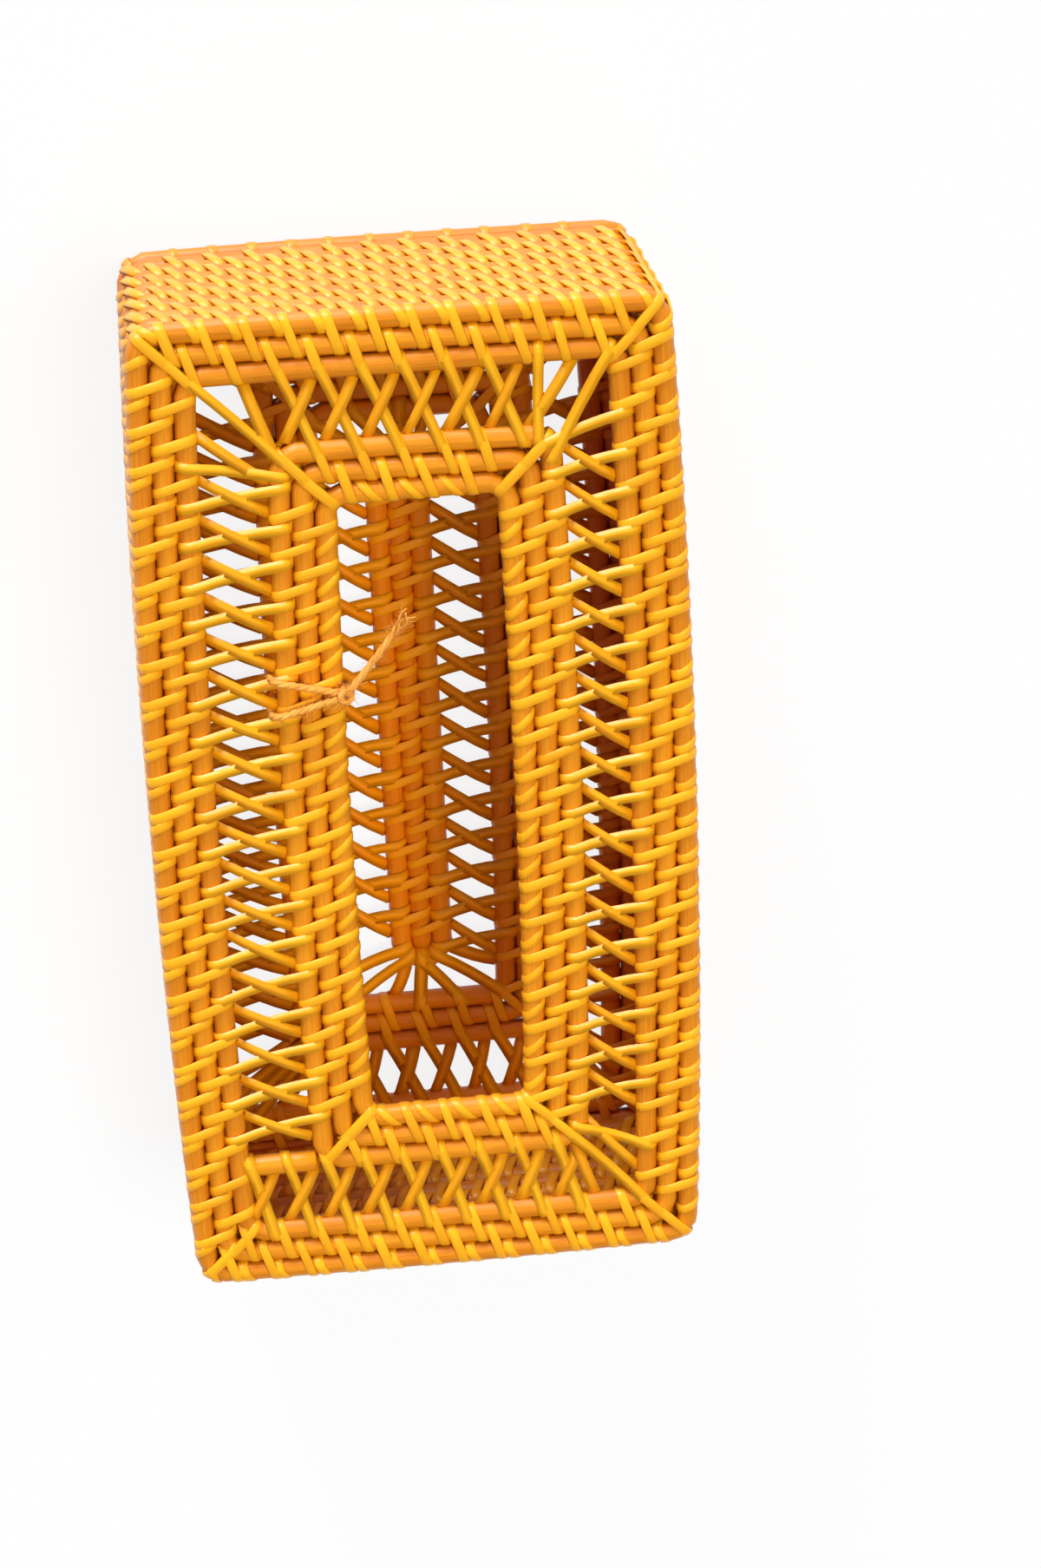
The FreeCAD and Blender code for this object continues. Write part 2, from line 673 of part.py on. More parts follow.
# Every piece has to be whole before anything is written
KINDS = ("PartDesign::Body", "Part::Cylinder", "Part::Feature")
for item in doc.Objects:
    if "Invalid" in item.State or "Error" in item.State:
        raise RuntimeError(f"{item.Name} did not build: {item.State}")
pieces = [item for item in doc.Objects if item.TypeId in KINDS]
for piece in pieces:
    if piece.Shape.isNull() or not piece.Shape.isValid() or not piece.Shape.Solids:
        raise RuntimeError(f"{piece.Label} is not a valid solid")

os.makedirs("parts", exist_ok=True)
for piece in pieces:
    piece.Shape.exportStep(f"parts/{piece.Label}.step")
print(len(pieces), "pieces,", sum(len(piece.Shape.Solids) for piece in pieces), "solids")
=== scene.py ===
"""A woven cane tissue box cover: bent rods, split-cane lacing, crossed strands, a twine tie and their stage."""
import math
from typing import NamedTuple

import bpy
import numpy as np
from bpy.props import FloatProperty, FloatVectorProperty, IntProperty, PointerProperty
from bpy.types import Operator, Panel, PropertyGroup
from mathutils import Matrix, Vector


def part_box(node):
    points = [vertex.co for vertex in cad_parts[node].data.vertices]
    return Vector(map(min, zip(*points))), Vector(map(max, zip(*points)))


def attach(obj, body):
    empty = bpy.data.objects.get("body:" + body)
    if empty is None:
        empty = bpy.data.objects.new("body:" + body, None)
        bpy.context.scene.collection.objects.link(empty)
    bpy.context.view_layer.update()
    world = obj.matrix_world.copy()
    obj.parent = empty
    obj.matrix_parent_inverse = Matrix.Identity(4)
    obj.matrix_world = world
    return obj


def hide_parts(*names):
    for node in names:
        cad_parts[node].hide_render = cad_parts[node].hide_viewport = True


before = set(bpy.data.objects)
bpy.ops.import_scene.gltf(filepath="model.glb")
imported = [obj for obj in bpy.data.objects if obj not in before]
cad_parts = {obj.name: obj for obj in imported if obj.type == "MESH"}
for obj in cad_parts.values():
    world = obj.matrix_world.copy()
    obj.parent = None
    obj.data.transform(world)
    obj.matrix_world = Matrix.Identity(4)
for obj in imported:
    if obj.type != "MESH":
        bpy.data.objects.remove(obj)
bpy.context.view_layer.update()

bl_info = {
    "name": "Cane tissue box cover",
    "version": (1, 0, 0),
    "blender": (4, 5, 0),
    "location": "3D View > Sidebar > Cane",
    "description": "Dresses a tissue box cover with cane rods, lacing, crossed strands and twine",
    "category": "Object",
}

UP = np.array((0.0, 0.0, 1.0))
FULL_TURN = 2 * math.pi
SIDES = range(4)
WALL_ROWS = 11
COVER = "cover"
BASE = "base"

# Nodes of the rods, from the outside inwards and from the foot up
TOP_BAND = ("top_edge_rod", "top_second_rod", "top_third_rod")
SLOT_FRAME = ("slot_frame_outer_rod", "slot_frame_middle_rod", "slot_edge_rod")
BASE_BAND = ("base_edge_rod", "base_second_rod", "base_third_rod")
BASE_MIDDLE = ("base_middle_outer_rod", "base_middle_rod", "base_middle_inner_rod")
WALL_RODS = tuple(f"wall_rod_{count:02d}" for count in range(1, WALL_ROWS + 1))

# How the lacing is laid. Slants and rolls are runs along the rods for each unit across or above them, the
# heart's corner is a share of the rod pitch, and the other places and runs are shares of the stitch pitch. Four
# numbers go round the sides: +X, +Y, -X and -Y
STITCH_SLANT_SHARE = 0.3
CROSS_SLANT_SHARE = 0.195
FRONT_SLANT_SHARES = {COVER: (0.195, 0.385, 0.195, 0.30), BASE: (0.195, 0.385, 0.195, 0.44)}
BACK_RUN_SHARES = {COVER: (0.93, 0.81, 0.93, 0.68), BASE: (0.93, 0.81, 0.93, 0.42)}
STRAND_WIDTH_SHARES = {COVER: 1.0, BASE: 1.2}
ROW_ADVANCE_SHARE = 0.5
BASE_ADVANCE_SHARE = 0.13
WALL_START_SHARES = np.array((0.24, 0.11, 0.06, 0.74))
WALL_ROLL_SHARE = 0.45
HINGE_SIDE_SHARE = 0.5
HEART_CORNER_SHARE = 0.75
EDGE_WRAP_SHARE = 0.42
EDGE_WRAP_SLANT_SHARE = 0.8
# Steps round each rod that a stitch wraps, its tone, and the spreads of its handwork, in metres or as shares
STITCH_STEPS = 6
STITCH_TONE = 0.72
STITCH_TONE_SPREAD = 0.16
STITCH_PRESS_SPREAD = 0.00003
STITCH_PLACE_SPREAD = 0.00018
STITCH_SLANT_SPREAD = 0.025
STITCH_WIDTH_SPREAD = 0.05
# Crossed strands: the spreads of their handwork, and a front strand's level halfway, as a share of its reach
STRAND_TONE_SPREAD = 0.14
STRAND_WIDTH_SPREAD = 0.06
FRONT_LEVEL_SHARE = 0.42
# Rods: a step along one, the corners of its section, its tone, the waves round a hoop that its line and its
# thickness wander by, with how far and from where, and the ends of a straight rod, with their rims rounded off
ROD_STEP = 0.0035
ROD_CORNERS = 14
ROD_TONE = 0.5
ROD_TONE_SPREAD = 0.12
WANDER_WAVES = np.arange(5, 14)
WANDER_REACH = 0.00005
THICKNESS_WAVES = 7
THICKNESS_START = 6
THICKNESS_SWING = 0.008
STRAIGHT_SHARES = np.array((-1.0, -0.97, -0.5, 0.0, 0.5, 0.97, 1.0))
STRAIGHT_RIMS = np.array((0.82, 1.0, 1.0, 1.0, 1.0, 1.0, 0.82))
# Painted shade in the grooves between a panel's rods: depth and narrowness of the shade, its colour as shares
# of the dark streaks, and which flanks of a band's outer, middle and inner rod lie against a neighbour
GROOVE_SHADE_DEPTH = 1.45
GROOVE_SHADE_NARROWNESS = 6
GROOVE_SHADE_SHARES = np.array((0.42, 0.32, 0.3))
BAND_FLANKS = ((0, 1), (1, 1), (1, 0))
NO_FLANKS = (0, 0)
# Where each group of pieces starts in the count of seeds
SEED_STARTS = {
    "panel_rods": 0, "wall_rods": 6, "base_rods": 50, "heart_ring": 70, "bridge_rod": 71, "heart_rod": 72,
    "wall_lacing": 100, "top_lacing": 200, "base_lacing": 300, "hinge_loops": 350, "twine": 400,
}


def node_middle(node):
    """The middle of a node's box."""
    low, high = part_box(node)
    return np.array((low + high) / 2)


def node_extent(node):
    """The size of a node's box."""
    low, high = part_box(node)
    return np.array(high - low)


ROD_RADIUS = node_extent("top_edge_rod")[2] / 2
ROD_PITCH = (node_extent("top_edge_rod")[0] - node_extent("top_second_rod")[0]) / 2
COVER_LENGTH = node_extent("top_edge_lacing")[1]
COVER_WIDTH = node_extent("top_edge_lacing")[0]


class CaneSizes(PropertyGroup):
    """Sizes of the cane and of the way it is laid."""

    long_side_bow: FloatProperty(
        name="Long side bow", description="How far a long side bows out", default=0.0031, unit="LENGTH")
    end_bow: FloatProperty(
        name="End bow", description="How far an end bows out", default=0.0006, unit="LENGTH")
    corner_radius: FloatProperty(
        name="Corner radius", description="Bend of a rod at a corner", default=0.0045, unit="LENGTH")
    heart_bow: FloatProperty(
        name="Heart bow", description="Bow of the hoop at the base's heart", default=0.00005, unit="LENGTH")
    stitch_pitch: FloatProperty(
        name="Stitch pitch", description="From one stitch to the next", default=0.00965, unit="LENGTH")
    rod_radius: FloatProperty(
        name="Rod radius", description="Radius of the round cane", default=0.00253, unit="LENGTH")
    rod_press: FloatProperty(
        name="Rod press", description="Bulge of a rod towards its neighbours", default=0.00018, unit="LENGTH")
    strand_width: FloatProperty(
        name="Strand width", description="Width of the split cane", default=0.00275, unit="LENGTH")
    strand_thickness: FloatProperty(
        name="Strand thickness", description="Thickness of the split cane", default=0.0005, unit="LENGTH")
    hinge_loop_width: FloatProperty(
        name="Hinge loop width", description="Width of the base's loops", default=0.0024, unit="LENGTH")
    twine_diameter: FloatProperty(
        name="Twine diameter", description="Thickness of the tied twine", default=0.0019, unit="LENGTH")
    seed: IntProperty(name="Seed", description="Start of the unevenness of the handwork", default=11)


class CaneColours(PropertyGroup):
    """Colours of the cane, the twine and the floor, as linear values."""

    rod_light: FloatVectorProperty(
        name="Rod, light", description="Pale streaks of the rods", subtype="COLOR",
        default=(0.88, 0.33, 0.005))
    rod_dark: FloatVectorProperty(
        name="Rod, dark", description="Deep streaks of the rods", subtype="COLOR",
        default=(0.62, 0.175, 0.0015))
    lacing_light: FloatVectorProperty(
        name="Lacing, light", description="Pale split cane", subtype="COLOR", default=(0.98, 0.45, 0.006))
    lacing_dark: FloatVectorProperty(
        name="Lacing, dark", description="Deep split cane", subtype="COLOR", default=(0.88, 0.325, 0.003))
    # The base's cane is set deeper and redder than the cover's: painted shade for the base, which lies in
    # shadow inside the box
    base_rod_light: FloatVectorProperty(
        name="Base rod, light", description="Pale streaks of the base's rods", subtype="COLOR",
        default=(0.91, 0.27, 0.004))
    base_rod_dark: FloatVectorProperty(
        name="Base rod, dark", description="Deep streaks of the base's rods", subtype="COLOR",
        default=(0.72, 0.16, 0.001))
    base_lacing_light: FloatVectorProperty(
        name="Base lacing, light", description="Pale split cane of the base", subtype="COLOR",
        default=(0.96, 0.34, 0.004))
    base_lacing_dark: FloatVectorProperty(
        name="Base lacing, dark", description="Deep split cane of the base", subtype="COLOR",
        default=(0.86, 0.25, 0.002))
    twine_light: FloatVectorProperty(
        name="Twine, light", description="Pale fibres", subtype="COLOR", default=(0.96, 0.46, 0.085))
    twine_dark: FloatVectorProperty(
        name="Twine, dark", description="Deep fibres", subtype="COLOR", default=(0.76, 0.27, 0.025))
    floor: FloatVectorProperty(
        name="Floor", description="Pale floor", subtype="COLOR", default=(0.80, 0.80, 0.80))


class CaneStage(PropertyGroup):
    """Camera and light."""

    camera_place: FloatVectorProperty(
        name="Camera place", description="Where the camera stands", subtype="TRANSLATION",
        default=(-0.068196, 0.378977, 0.987723))
    camera_right: FloatVectorProperty(
        name="Camera right", description="The picture's right", subtype="DIRECTION",
        default=(0.99239, -0.04143, 0.11594))
    camera_forward: FloatVectorProperty(
        name="Camera forward", description="Where the camera looks", subtype="DIRECTION",
        default=(0.09197, -0.37656, -0.92181))
    lens: FloatProperty(name="Lens", description="Focal length for a 36 mm tall frame", default=94.11)
    key_strength: FloatProperty(name="Key light", description="Strength of the key light", default=2.42)
    low_strength: FloatProperty(
        name="Low light", description="Strength of the light on the far end", default=3.5)
    sky_strength: FloatProperty(name="Sky", description="Strength of the even light", default=0.28)


def sizes():
    """The sizes that are set now."""
    return bpy.context.scene.cane_sizes


def colours():
    """The colours that are set now."""
    return bpy.context.scene.cane_colours


def seed_of(group):
    """The seed of a group's first piece."""
    return sizes().seed + SEED_STARTS[group]


def unit(vectors):
    """Vectors brought to length one."""
    return vectors / np.linalg.norm(vectors, axis=-1, keepdims=True)


def bearings(angle):
    """Level directions at angles round the box: outwards (cos a, sin a, 0) and along (-sin a, cos a, 0)."""
    flat = np.zeros(angle.shape)
    out = np.stack((np.cos(angle), np.sin(angle), flat), axis=-1)
    return out, np.stack((-np.sin(angle), np.cos(angle), flat), axis=-1)


class Hoop:
    """The centre line of a bent rod: four bowed sides and four corner arcs, counter-clockwise from the middle
    of the +X side. An arc of radius R about c runs as c + R (cos a, sin a), so a length l turns it by l / R."""

    def __init__(self, middle, half_width, half_length, corner=None, bow=None):
        self.middle = np.asarray(middle, float)
        self.half_width = half_width
        self.half_length = half_length
        self.corner = corner if corner else sizes().corner_radius
        self.long_radius = COVER_LENGTH**2 / 8 / sizes().long_side_bow - COVER_WIDTH / 2 + half_width
        self.short_radius = COVER_WIDTH**2 / 8 / sizes().end_bow - COVER_LENGTH / 2 + half_length
        if bow:
            self.long_radius = half_length**2 / 2 / bow
        self.lay_arcs()

    def lay_arcs(self):
        """Centres, radii and turns of the nine arcs, each tangent to the next."""
        long_centre = np.array((self.half_width - self.long_radius, 0.0))
        short_centre = np.array((0.0, self.half_length - self.short_radius))
        to_long = self.long_radius - self.corner
        to_short = self.short_radius - self.corner
        base = short_centre - long_centre
        distance = np.linalg.norm(base)
        foot = (to_long**2 - to_short**2 + distance**2) / (2 * distance)
        base /= distance
        corner = long_centre + base * foot + np.array((-base[1], base[0])) * math.sqrt(to_long**2 - foot**2)
        low = math.atan2(corner[1], corner[0] - long_centre[0])
        high = math.atan2(corner[1] - short_centre[1], corner[0])
        mirror = np.array(((1, 1), (-1, 1), (-1, -1), (1, -1)))
        corners = corner * mirror
        half, turn = math.pi, FULL_TURN
        centres = (long_centre, corners[0], short_centre, corners[1], -long_centre, corners[2], -short_centre,
                   corners[3], long_centre)
        self.centres = np.pad(np.array(centres), ((0, 0), (0, 1)))
        self.radii = np.array((self.long_radius, self.corner, self.short_radius, self.corner) * 2
                              + (self.long_radius,))
        bounds = np.array((0, low, high, half - high, half - low, half + low, half + high, turn - high,
                           turn - low, turn))
        self.starts = bounds[:-1]
        self.lengths = self.radii * np.diff(bounds)
        self.marks = np.concatenate(((0.0,), np.cumsum(self.lengths)))
        self.total = self.marks[-1]

    def frames(self, lengths):
        """Points, outward and along directions at lengths along the hoop."""
        lengths = np.mod(lengths, self.total)
        arc = np.clip(np.searchsorted(self.marks, lengths, side="right") - 1, 0, len(self.radii) - 1)
        out, along = bearings(self.starts[arc] + (lengths - self.marks[arc]) / self.radii[arc])
        return self.middle + self.centres[arc] + self.radii[arc][..., None] * out, out, along

    def reach(self, side):
        """Distance from the hoop's middle to the crown of a side: 0 is +X, 1 is +Y, 2 is -X and 3 is -Y."""
        return self.half_width if side in (0, 2) else self.half_length

    def offset(self, side):
        """How far the hoop's middle lies outwards on a side."""
        shift = self.middle[side % 2]
        return shift if side < 2 else -shift

    def run(self, side):
        """Half the length of a side between its corners."""
        return (self.half_length if side in (0, 2) else self.half_width) - self.corner

    def crown_length(self, side):
        """The length along the hoop at which a side has its crown."""
        before = self.marks[2 * side]
        return before if side == 0 else before + self.lengths[2 * side] / 2

    def side_angle(self, side, runs):
        """Angles along a side's arc of places that lie runs along it from the box's middle."""
        return np.arcsin((np.asarray(runs) - self.offset((side + 1) % 4)) / self.radii[2 * side])

    def length_at(self, side, runs):
        """Lengths along the hoop of places that lie runs along a side from the box's middle."""
        return self.crown_length(side) + self.radii[2 * side] * self.side_angle(side, runs)

    def side_frames(self, side, runs):
        """Points, outward and along directions on a side's arc, which may run on past the corners."""
        out, along = bearings(side * math.pi / 2 + self.side_angle(side, runs))
        return self.middle + self.centres[2 * side] + self.radii[2 * side] * out, out, along

    def corner_lengths(self):
        """Lengths along the hoop at the middles of the corners, the first one lying after the +X side."""
        return (self.marks[1:8:2] + self.marks[2:9:2]) / 2

    def whole_sides(self):
        """Each side's reach before and after its middle, from corner to corner."""
        return [(-self.run(side), self.run(side)) for side in SIDES]


def rod_middle(node):
    """The middle of a rod's node, raised where its lacing would reach below the floor."""
    middle = node_middle(node)
    middle[2] = max(middle[2], sizes().rod_radius + sizes().strand_thickness)
    return middle


def hoop_of(node, **bend):
    """The hoop that a rod's node follows, read from the node's box."""
    extent = node_extent(node)
    return Hoop(rod_middle(node), extent[0] / 2 - ROD_RADIUS, extent[1] / 2 - ROD_RADIUS, **bend)


def heart_hoop():
    """The small hoop at the base's heart, with nearly straight sides."""
    return hoop_of("base_heart_ring", corner=ROD_PITCH * HEART_CORNER_SHARE, bow=sizes().heart_bow)


def hoop_between(outer, inner):
    """The line midway between two hoops of one band."""
    return Hoop((outer.middle + inner.middle) / 2, (outer.half_width + inner.half_width) / 2,
                (outer.half_length + inner.half_length) / 2)


# Orders of a face's corners that turn it outwards: as most strands are laid, and for mirrored ones
OUTWARD_ORDER = [0, 3, 2, 1]
MIRRORED_ORDER = [0, 1, 2, 3]


class Strands:
    """A bundle of strands that becomes one mesh. Each strand is a profile carried along a path: a vertex lies
    at path + w * wide + h * high for a profile point (w, h). The seed starts its unevenness."""

    def __init__(self, seed):
        self.rng = np.random.default_rng(seed)
        self.points = []
        self.quads = []
        self.caps = []
        self.quad_uvs = []
        self.tones = []
        self.count = 0

    def uneven(self, count, spread):
        """Numbers about zero, one for each strand, for the unevenness of handwork."""
        return self.rng.normal(0.0, spread, count)

    def add(self, path, wide, high, profile, tones, closed, shades=0.0, mirrored=False):
        """Add strands: path, wide and high are arrays of strands x steps x 3, and profile is corners x 2, for
        each strand or for all, clockwise. tones gives one number for each strand, and shades what a corner adds
        to it. high is wide x the path's direction, or the opposite where the strands are mirrored."""
        strands, steps = path.shape[:2]
        profile = np.broadcast_to(profile, (strands,) + np.shape(profile)[-2:])
        corners = profile.shape[1]
        across = profile[:, None, :, 0, None] * wide[:, :, None, :]
        above = profile[:, None, :, 1, None] * high[:, :, None, :]
        grid = path[:, :, None, :] + across + above
        index = self.count + np.arange(strands * steps * corners).reshape(strands, steps, corners)
        ahead = np.roll(index, -1, axis=1)
        beside = np.roll(index, -1, axis=2)
        both = np.roll(ahead, -1, axis=2)
        spans = steps if closed else steps - 1
        order = MIRRORED_ORDER if mirrored else OUTWARD_ORDER
        quads = np.stack((index, ahead, both, beside), axis=-1)[:, :spans, :, order]
        self.quads.append(quads.reshape(-1, 4))
        step_length = np.linalg.norm(np.roll(path, -1, axis=1) - path, axis=-1)
        length = np.concatenate((np.zeros((strands, 1)), np.cumsum(step_length, axis=1)), axis=1)
        edge = np.linalg.norm(np.roll(profile, -1, axis=1) - profile, axis=-1)
        girth = np.concatenate((np.zeros((strands, 1)), np.cumsum(edge, axis=1)), axis=1)
        along = np.stack((length[:, :-1], length[:, 1:], length[:, 1:], length[:, :-1]), axis=-1)[:, :spans]
        around = np.stack((girth[:, :-1], girth[:, :-1], girth[:, 1:], girth[:, 1:]), axis=-1)
        shift = tones[:, None, None, None]
        shape = (strands, spans, corners, 4)
        u = np.broadcast_to(along[:, :, None, :] + shift, shape)
        v = np.broadcast_to(around[:, None, :, :] + shift, shape)
        self.quad_uvs.append(np.stack((u, v), axis=-1)[..., order, :].reshape(-1, 2))
        if not closed:
            ends = (index[:, 0, :], index[:, -1, ::-1])
            self.caps += ends if mirrored else [end[:, ::-1] for end in ends]
        self.points.append(grid.reshape(-1, 3))
        shaded = tones[:, None, None] + np.broadcast_to(shades, (strands, steps, corners))
        self.tones.append(shaded.ravel())
        self.count += strands * steps * corners

    def to_object(self, name, kind, body, node):
        """Make the mesh with the finish of its kind, let it ride on its body and stand for its node."""
        points = np.concatenate(self.points)
        faces = self.quads + self.caps
        corners = np.concatenate([part.ravel() for part in faces]).astype(np.int32)
        totals = np.concatenate([np.full(len(part), part.shape[1]) for part in faces]).astype(np.int32)
        starts = np.concatenate(((0,), np.cumsum(totals)[:-1])).astype(np.int32)
        mesh = bpy.data.meshes.new(name)
        mesh.vertices.add(len(points))
        mesh.vertices.foreach_set("co", points.astype(np.float32).ravel())
        mesh.loops.add(len(corners))
        mesh.loops.foreach_set("vertex_index", corners)
        mesh.polygons.add(len(totals))
        mesh.polygons.foreach_set("loop_start", starts)
        mesh.polygons.foreach_set("loop_total", totals)
        mesh.polygons.foreach_set("use_smooth", np.ones(len(totals), bool))
        uvs = np.zeros((len(corners), 2), np.float32)
        quad_uvs = np.concatenate(self.quad_uvs)
        uvs[:len(quad_uvs)] = quad_uvs
        mesh.update(calc_edges=True)
        mesh.uv_layers.new(name="Strand").data.foreach_set("uv", uvs.ravel())
        # tone holds each strand's tone, and on a panel's rods also the painted groove shade, below zero
        tone = mesh.attributes.new("tone", "FLOAT", "POINT")
        tone.data.foreach_set("value", np.concatenate(self.tones).astype(np.float32))
        mesh.validate()
        mesh.materials.append(finish(kind, body))
        piece = bpy.data.objects.new(name, mesh)
        bpy.context.scene.collection.objects.link(piece)
        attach(piece, body)
        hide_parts(node)


def round_profile(radius, corners):
    """A circle as a closed profile: radius times (cos t, sin t), clockwise."""
    turn = -np.linspace(0, FULL_TURN, corners, endpoint=False)
    return np.stack((np.cos(turn), np.sin(turn)), axis=-1) * radius


HALF_ROUND_SHARES = np.array(((-0.5, -0.5), (-0.4, 0.3), (0.0, 0.5), (0.4, 0.3), (0.5, -0.5)))


def half_round(widths, thickness):
    """Split cane's section for each strand: flat below and domed above, as shares of width and thickness."""
    across = HALF_ROUND_SHARES[None, :, 0] * widths[:, None]
    above = np.broadcast_to(HALF_ROUND_SHARES[None, :, 1] * thickness, across.shape)
    return np.stack((across, above), axis=-1)


def wrap_path(half_span, radius, slant, steps):
    """A loop round two rods that lie half_span to either side: two half circles of the radius joined by
    straight runs, sheared along the rods by slant. Returns across, along and above places and the outward
    direction's shares across and above."""
    turn = np.linspace(-math.pi / 2, math.pi / 2, steps)
    turn = np.concatenate((turn, turn + math.pi))
    side = np.repeat((1.0, -1.0), steps)
    across = side * half_span[:, None] + radius[:, None] * np.cos(turn)
    above = radius[:, None] * np.sin(turn)
    return across, slant[:, None] * across, above, np.cos(turn), np.sin(turn)


def in_frames(frames, across, along, above):
    """Places in strands' own frames, put into the box's frame."""
    origin, wide, ahead, high = frames
    place = origin[:, None, :] + across[..., None] * wide[:, None, :]
    return place + along[..., None] * ahead[:, None, :] + above[..., None] * high[:, None, :]


def ring_path(radius, slant, steps):
    """A loop round one rod: a circle of the radius, sheared along the rod by slant."""
    turn = np.linspace(0, FULL_TURN, steps, endpoint=False)
    across = radius[:, None] * np.cos(turn)
    return across, slant[:, None] * across, radius[:, None] * np.sin(turn), np.cos(turn), np.sin(turn)


def add_wraps(bundle, frames, places, widths, thickness, tones):
    """Add closed strands that wrap rods, with the domed face turned outwards at every place."""
    across, along, above, cosine, sine = places
    path = in_frames(frames, across, along, above)
    wide = np.broadcast_to(frames[2][:, None, :], path.shape)
    high = cosine[None, :, None] * frames[1][:, None, :] + sine[None, :, None] * frames[3][:, None, :]
    bundle.add(path, wide, high, half_round(widths, thickness), tones, True)


def wrap_stitches(bundle, frames, half_span, slant=STITCH_SLANT_SHARE, roll=0.0):
    """Add stitches that wrap two rods, or one where half_span is None. frames holds origins, directions across
    the rods, along them and upwards. A stitch runs along the rods by slant for each unit across them and by
    roll for each above."""
    count = len(frames[0])
    if not count:
        return
    thickness = sizes().strand_thickness
    radius = sizes().rod_radius + thickness / 2 - np.abs(bundle.uneven(count, STITCH_PRESS_SPREAD))
    slants = slant + bundle.uneven(count, STITCH_SLANT_SPREAD)
    if half_span is None:
        places = ring_path(radius, slants, 2 * STITCH_STEPS)
    else:
        places = wrap_path(np.broadcast_to(half_span, count), radius, slants, STITCH_STEPS)
    across, along, above, *outward = places
    along = along + roll * above + bundle.uneven(count, STITCH_PLACE_SPREAD)[:, None]
    widths = sizes().strand_width * (1 + bundle.uneven(count, STITCH_WIDTH_SPREAD))
    tones = STITCH_TONE + bundle.uneven(count, STITCH_TONE_SPREAD)
    add_wraps(bundle, frames, (across, along, above, *outward), widths, thickness, tones)


def panel_frames(hoop, side, runs):
    """Frames of stitches on a side of a flat panel: across is outwards and upwards is up."""
    origin, out, along = hoop.side_frames(side, runs)
    return origin, out, along, np.broadcast_to(UP, origin.shape)


def wall_frames(hoop, lengths):
    """Frames of stitches in a wall: across is downwards and upwards is outwards."""
    origin, out, along = hoop.frames(np.asarray(lengths))
    origin = origin + UP * (ROD_PITCH / 2)
    return origin, np.broadcast_to(-UP, origin.shape), along, out


def wrap_phase(phases):
    """Phases brought within half a stitch pitch of zero."""
    spacing = sizes().stitch_pitch
    return (np.asarray(phases) + spacing / 2) % spacing - spacing / 2


def next_phases(phases, advance_share=ROW_ADVANCE_SHARE):
    """Phases of the row one rod further on."""
    return wrap_phase(np.asarray(phases) + advance_share * sizes().stitch_pitch)


def ring_gaps(outer, inner):
    """Rod-to-rod distances across an open ring, one for each side."""
    return np.array([outer.reach(side) + outer.offset(side) - inner.reach(side) - inner.offset(side)
                     for side in SIDES])


def cross_lead(outer, inner):
    """How far an open ring's crossings lie behind the last row, and the next row behind the crossings."""
    lead = STITCH_SLANT_SHARE * ROD_PITCH / 2 + sizes().stitch_pitch / 4
    return lead + CROSS_SLANT_SHARE * ring_gaps(outer, inner) / 2


def side_runs(hoop, side, phase, limits):
    """Stations along a side, one stitch pitch apart, within limits from the hoop's middle."""
    spacing = sizes().stitch_pitch
    middle = hoop.offset((side + 1) % 4)
    low, high = limits
    first = math.ceil((middle + low - phase) / spacing)
    last = math.floor((middle + high - phase) / spacing)
    return np.arange(first, last + 1) * spacing + phase


def even_fill(lengths, total, spacing):
    """Close the gaps at the corners: places evenly spaced from the last of a side to the first of the next."""
    lengths = np.sort(np.mod(lengths, total))
    after = np.append(lengths[1:], lengths[0] + total)
    fills = [lengths]
    for start, end in zip(lengths, after):
        parts = int(round((end - start) / spacing))
        if parts > 1:
            fills.append(start + (end - start) * np.arange(1, parts) / parts)
    return np.concatenate(fills)


def frames_between(far, near):
    """Frames of strands that run from one place to another, and how long they are."""
    span = np.linalg.norm(far - near, axis=-1)
    across = unit(far - near)
    high = np.broadcast_to(UP, across.shape)
    return ((far + near) / 2, across, np.cross(high, across), high), span


def corner_stitches(bundle, outer, inner):
    """One long stitch along the mitre of each corner."""
    frames, span = frames_between(*(hoop.frames(hoop.corner_lengths())[0] for hoop in (outer, inner)))
    wrap_stitches(bundle, frames, span / 2, slant=0.0)


def panel_row(name, outer, inner, phases, body, seed, edge_wraps=False):
    """A row of stitches round two neighbouring rods of a flat panel, with a mitre stitch at each corner."""
    bundle = Strands(seed)
    middle = hoop_between(outer, inner)
    reach = inner.corner / 2
    for side in SIDES:
        limit = inner.run(side) + reach
        runs = side_runs(inner, side, phases[side], (-limit, limit))
        wrap_stitches(bundle, panel_frames(middle, side, runs), ROD_PITCH / 2)
        if edge_wraps:
            between = runs[:-1] + sizes().stitch_pitch * EDGE_WRAP_SHARE
            wrap_stitches(bundle, panel_frames(inner, side, between), None, slant=EDGE_WRAP_SLANT_SHARE)
    corner_stitches(bundle, outer, inner)
    bundle.to_object(name.replace("lacing", "stitches"), "lacing", body, name)


class Lay(NamedTuple):
    """How a strand lies across an open ring: its arcs round the outer and the inner rod, the thicknesses that
    it passes above a front strand, the way it leans, the spread of its slant and its tone."""

    outer_turn: np.ndarray
    inner_turn: np.ndarray
    lift: float
    lean: float
    slant_spread: float
    tone: float


# Front strands go over both rods and dip between them. Back strands come up from under one rod, pass over the
# front strand and go down under the other. Both are tucked in at their free ends
FRONT = Lay(np.radians(np.linspace(-40, 90, 5)), np.radians(np.linspace(90, 220, 5)), 0, 1, 0.02, 0.74)
BACK = Lay(np.radians(np.linspace(262, 172, 5)), np.radians(np.linspace(8, -82, 5)), 1, -1, 0.03, 0.30)
TUCK_SHARES = np.array((0.9, 1.0, 1.0, 1.0, 1.0))
CROSSING_SHARES = np.array((0.25, 0.5, 0.75))


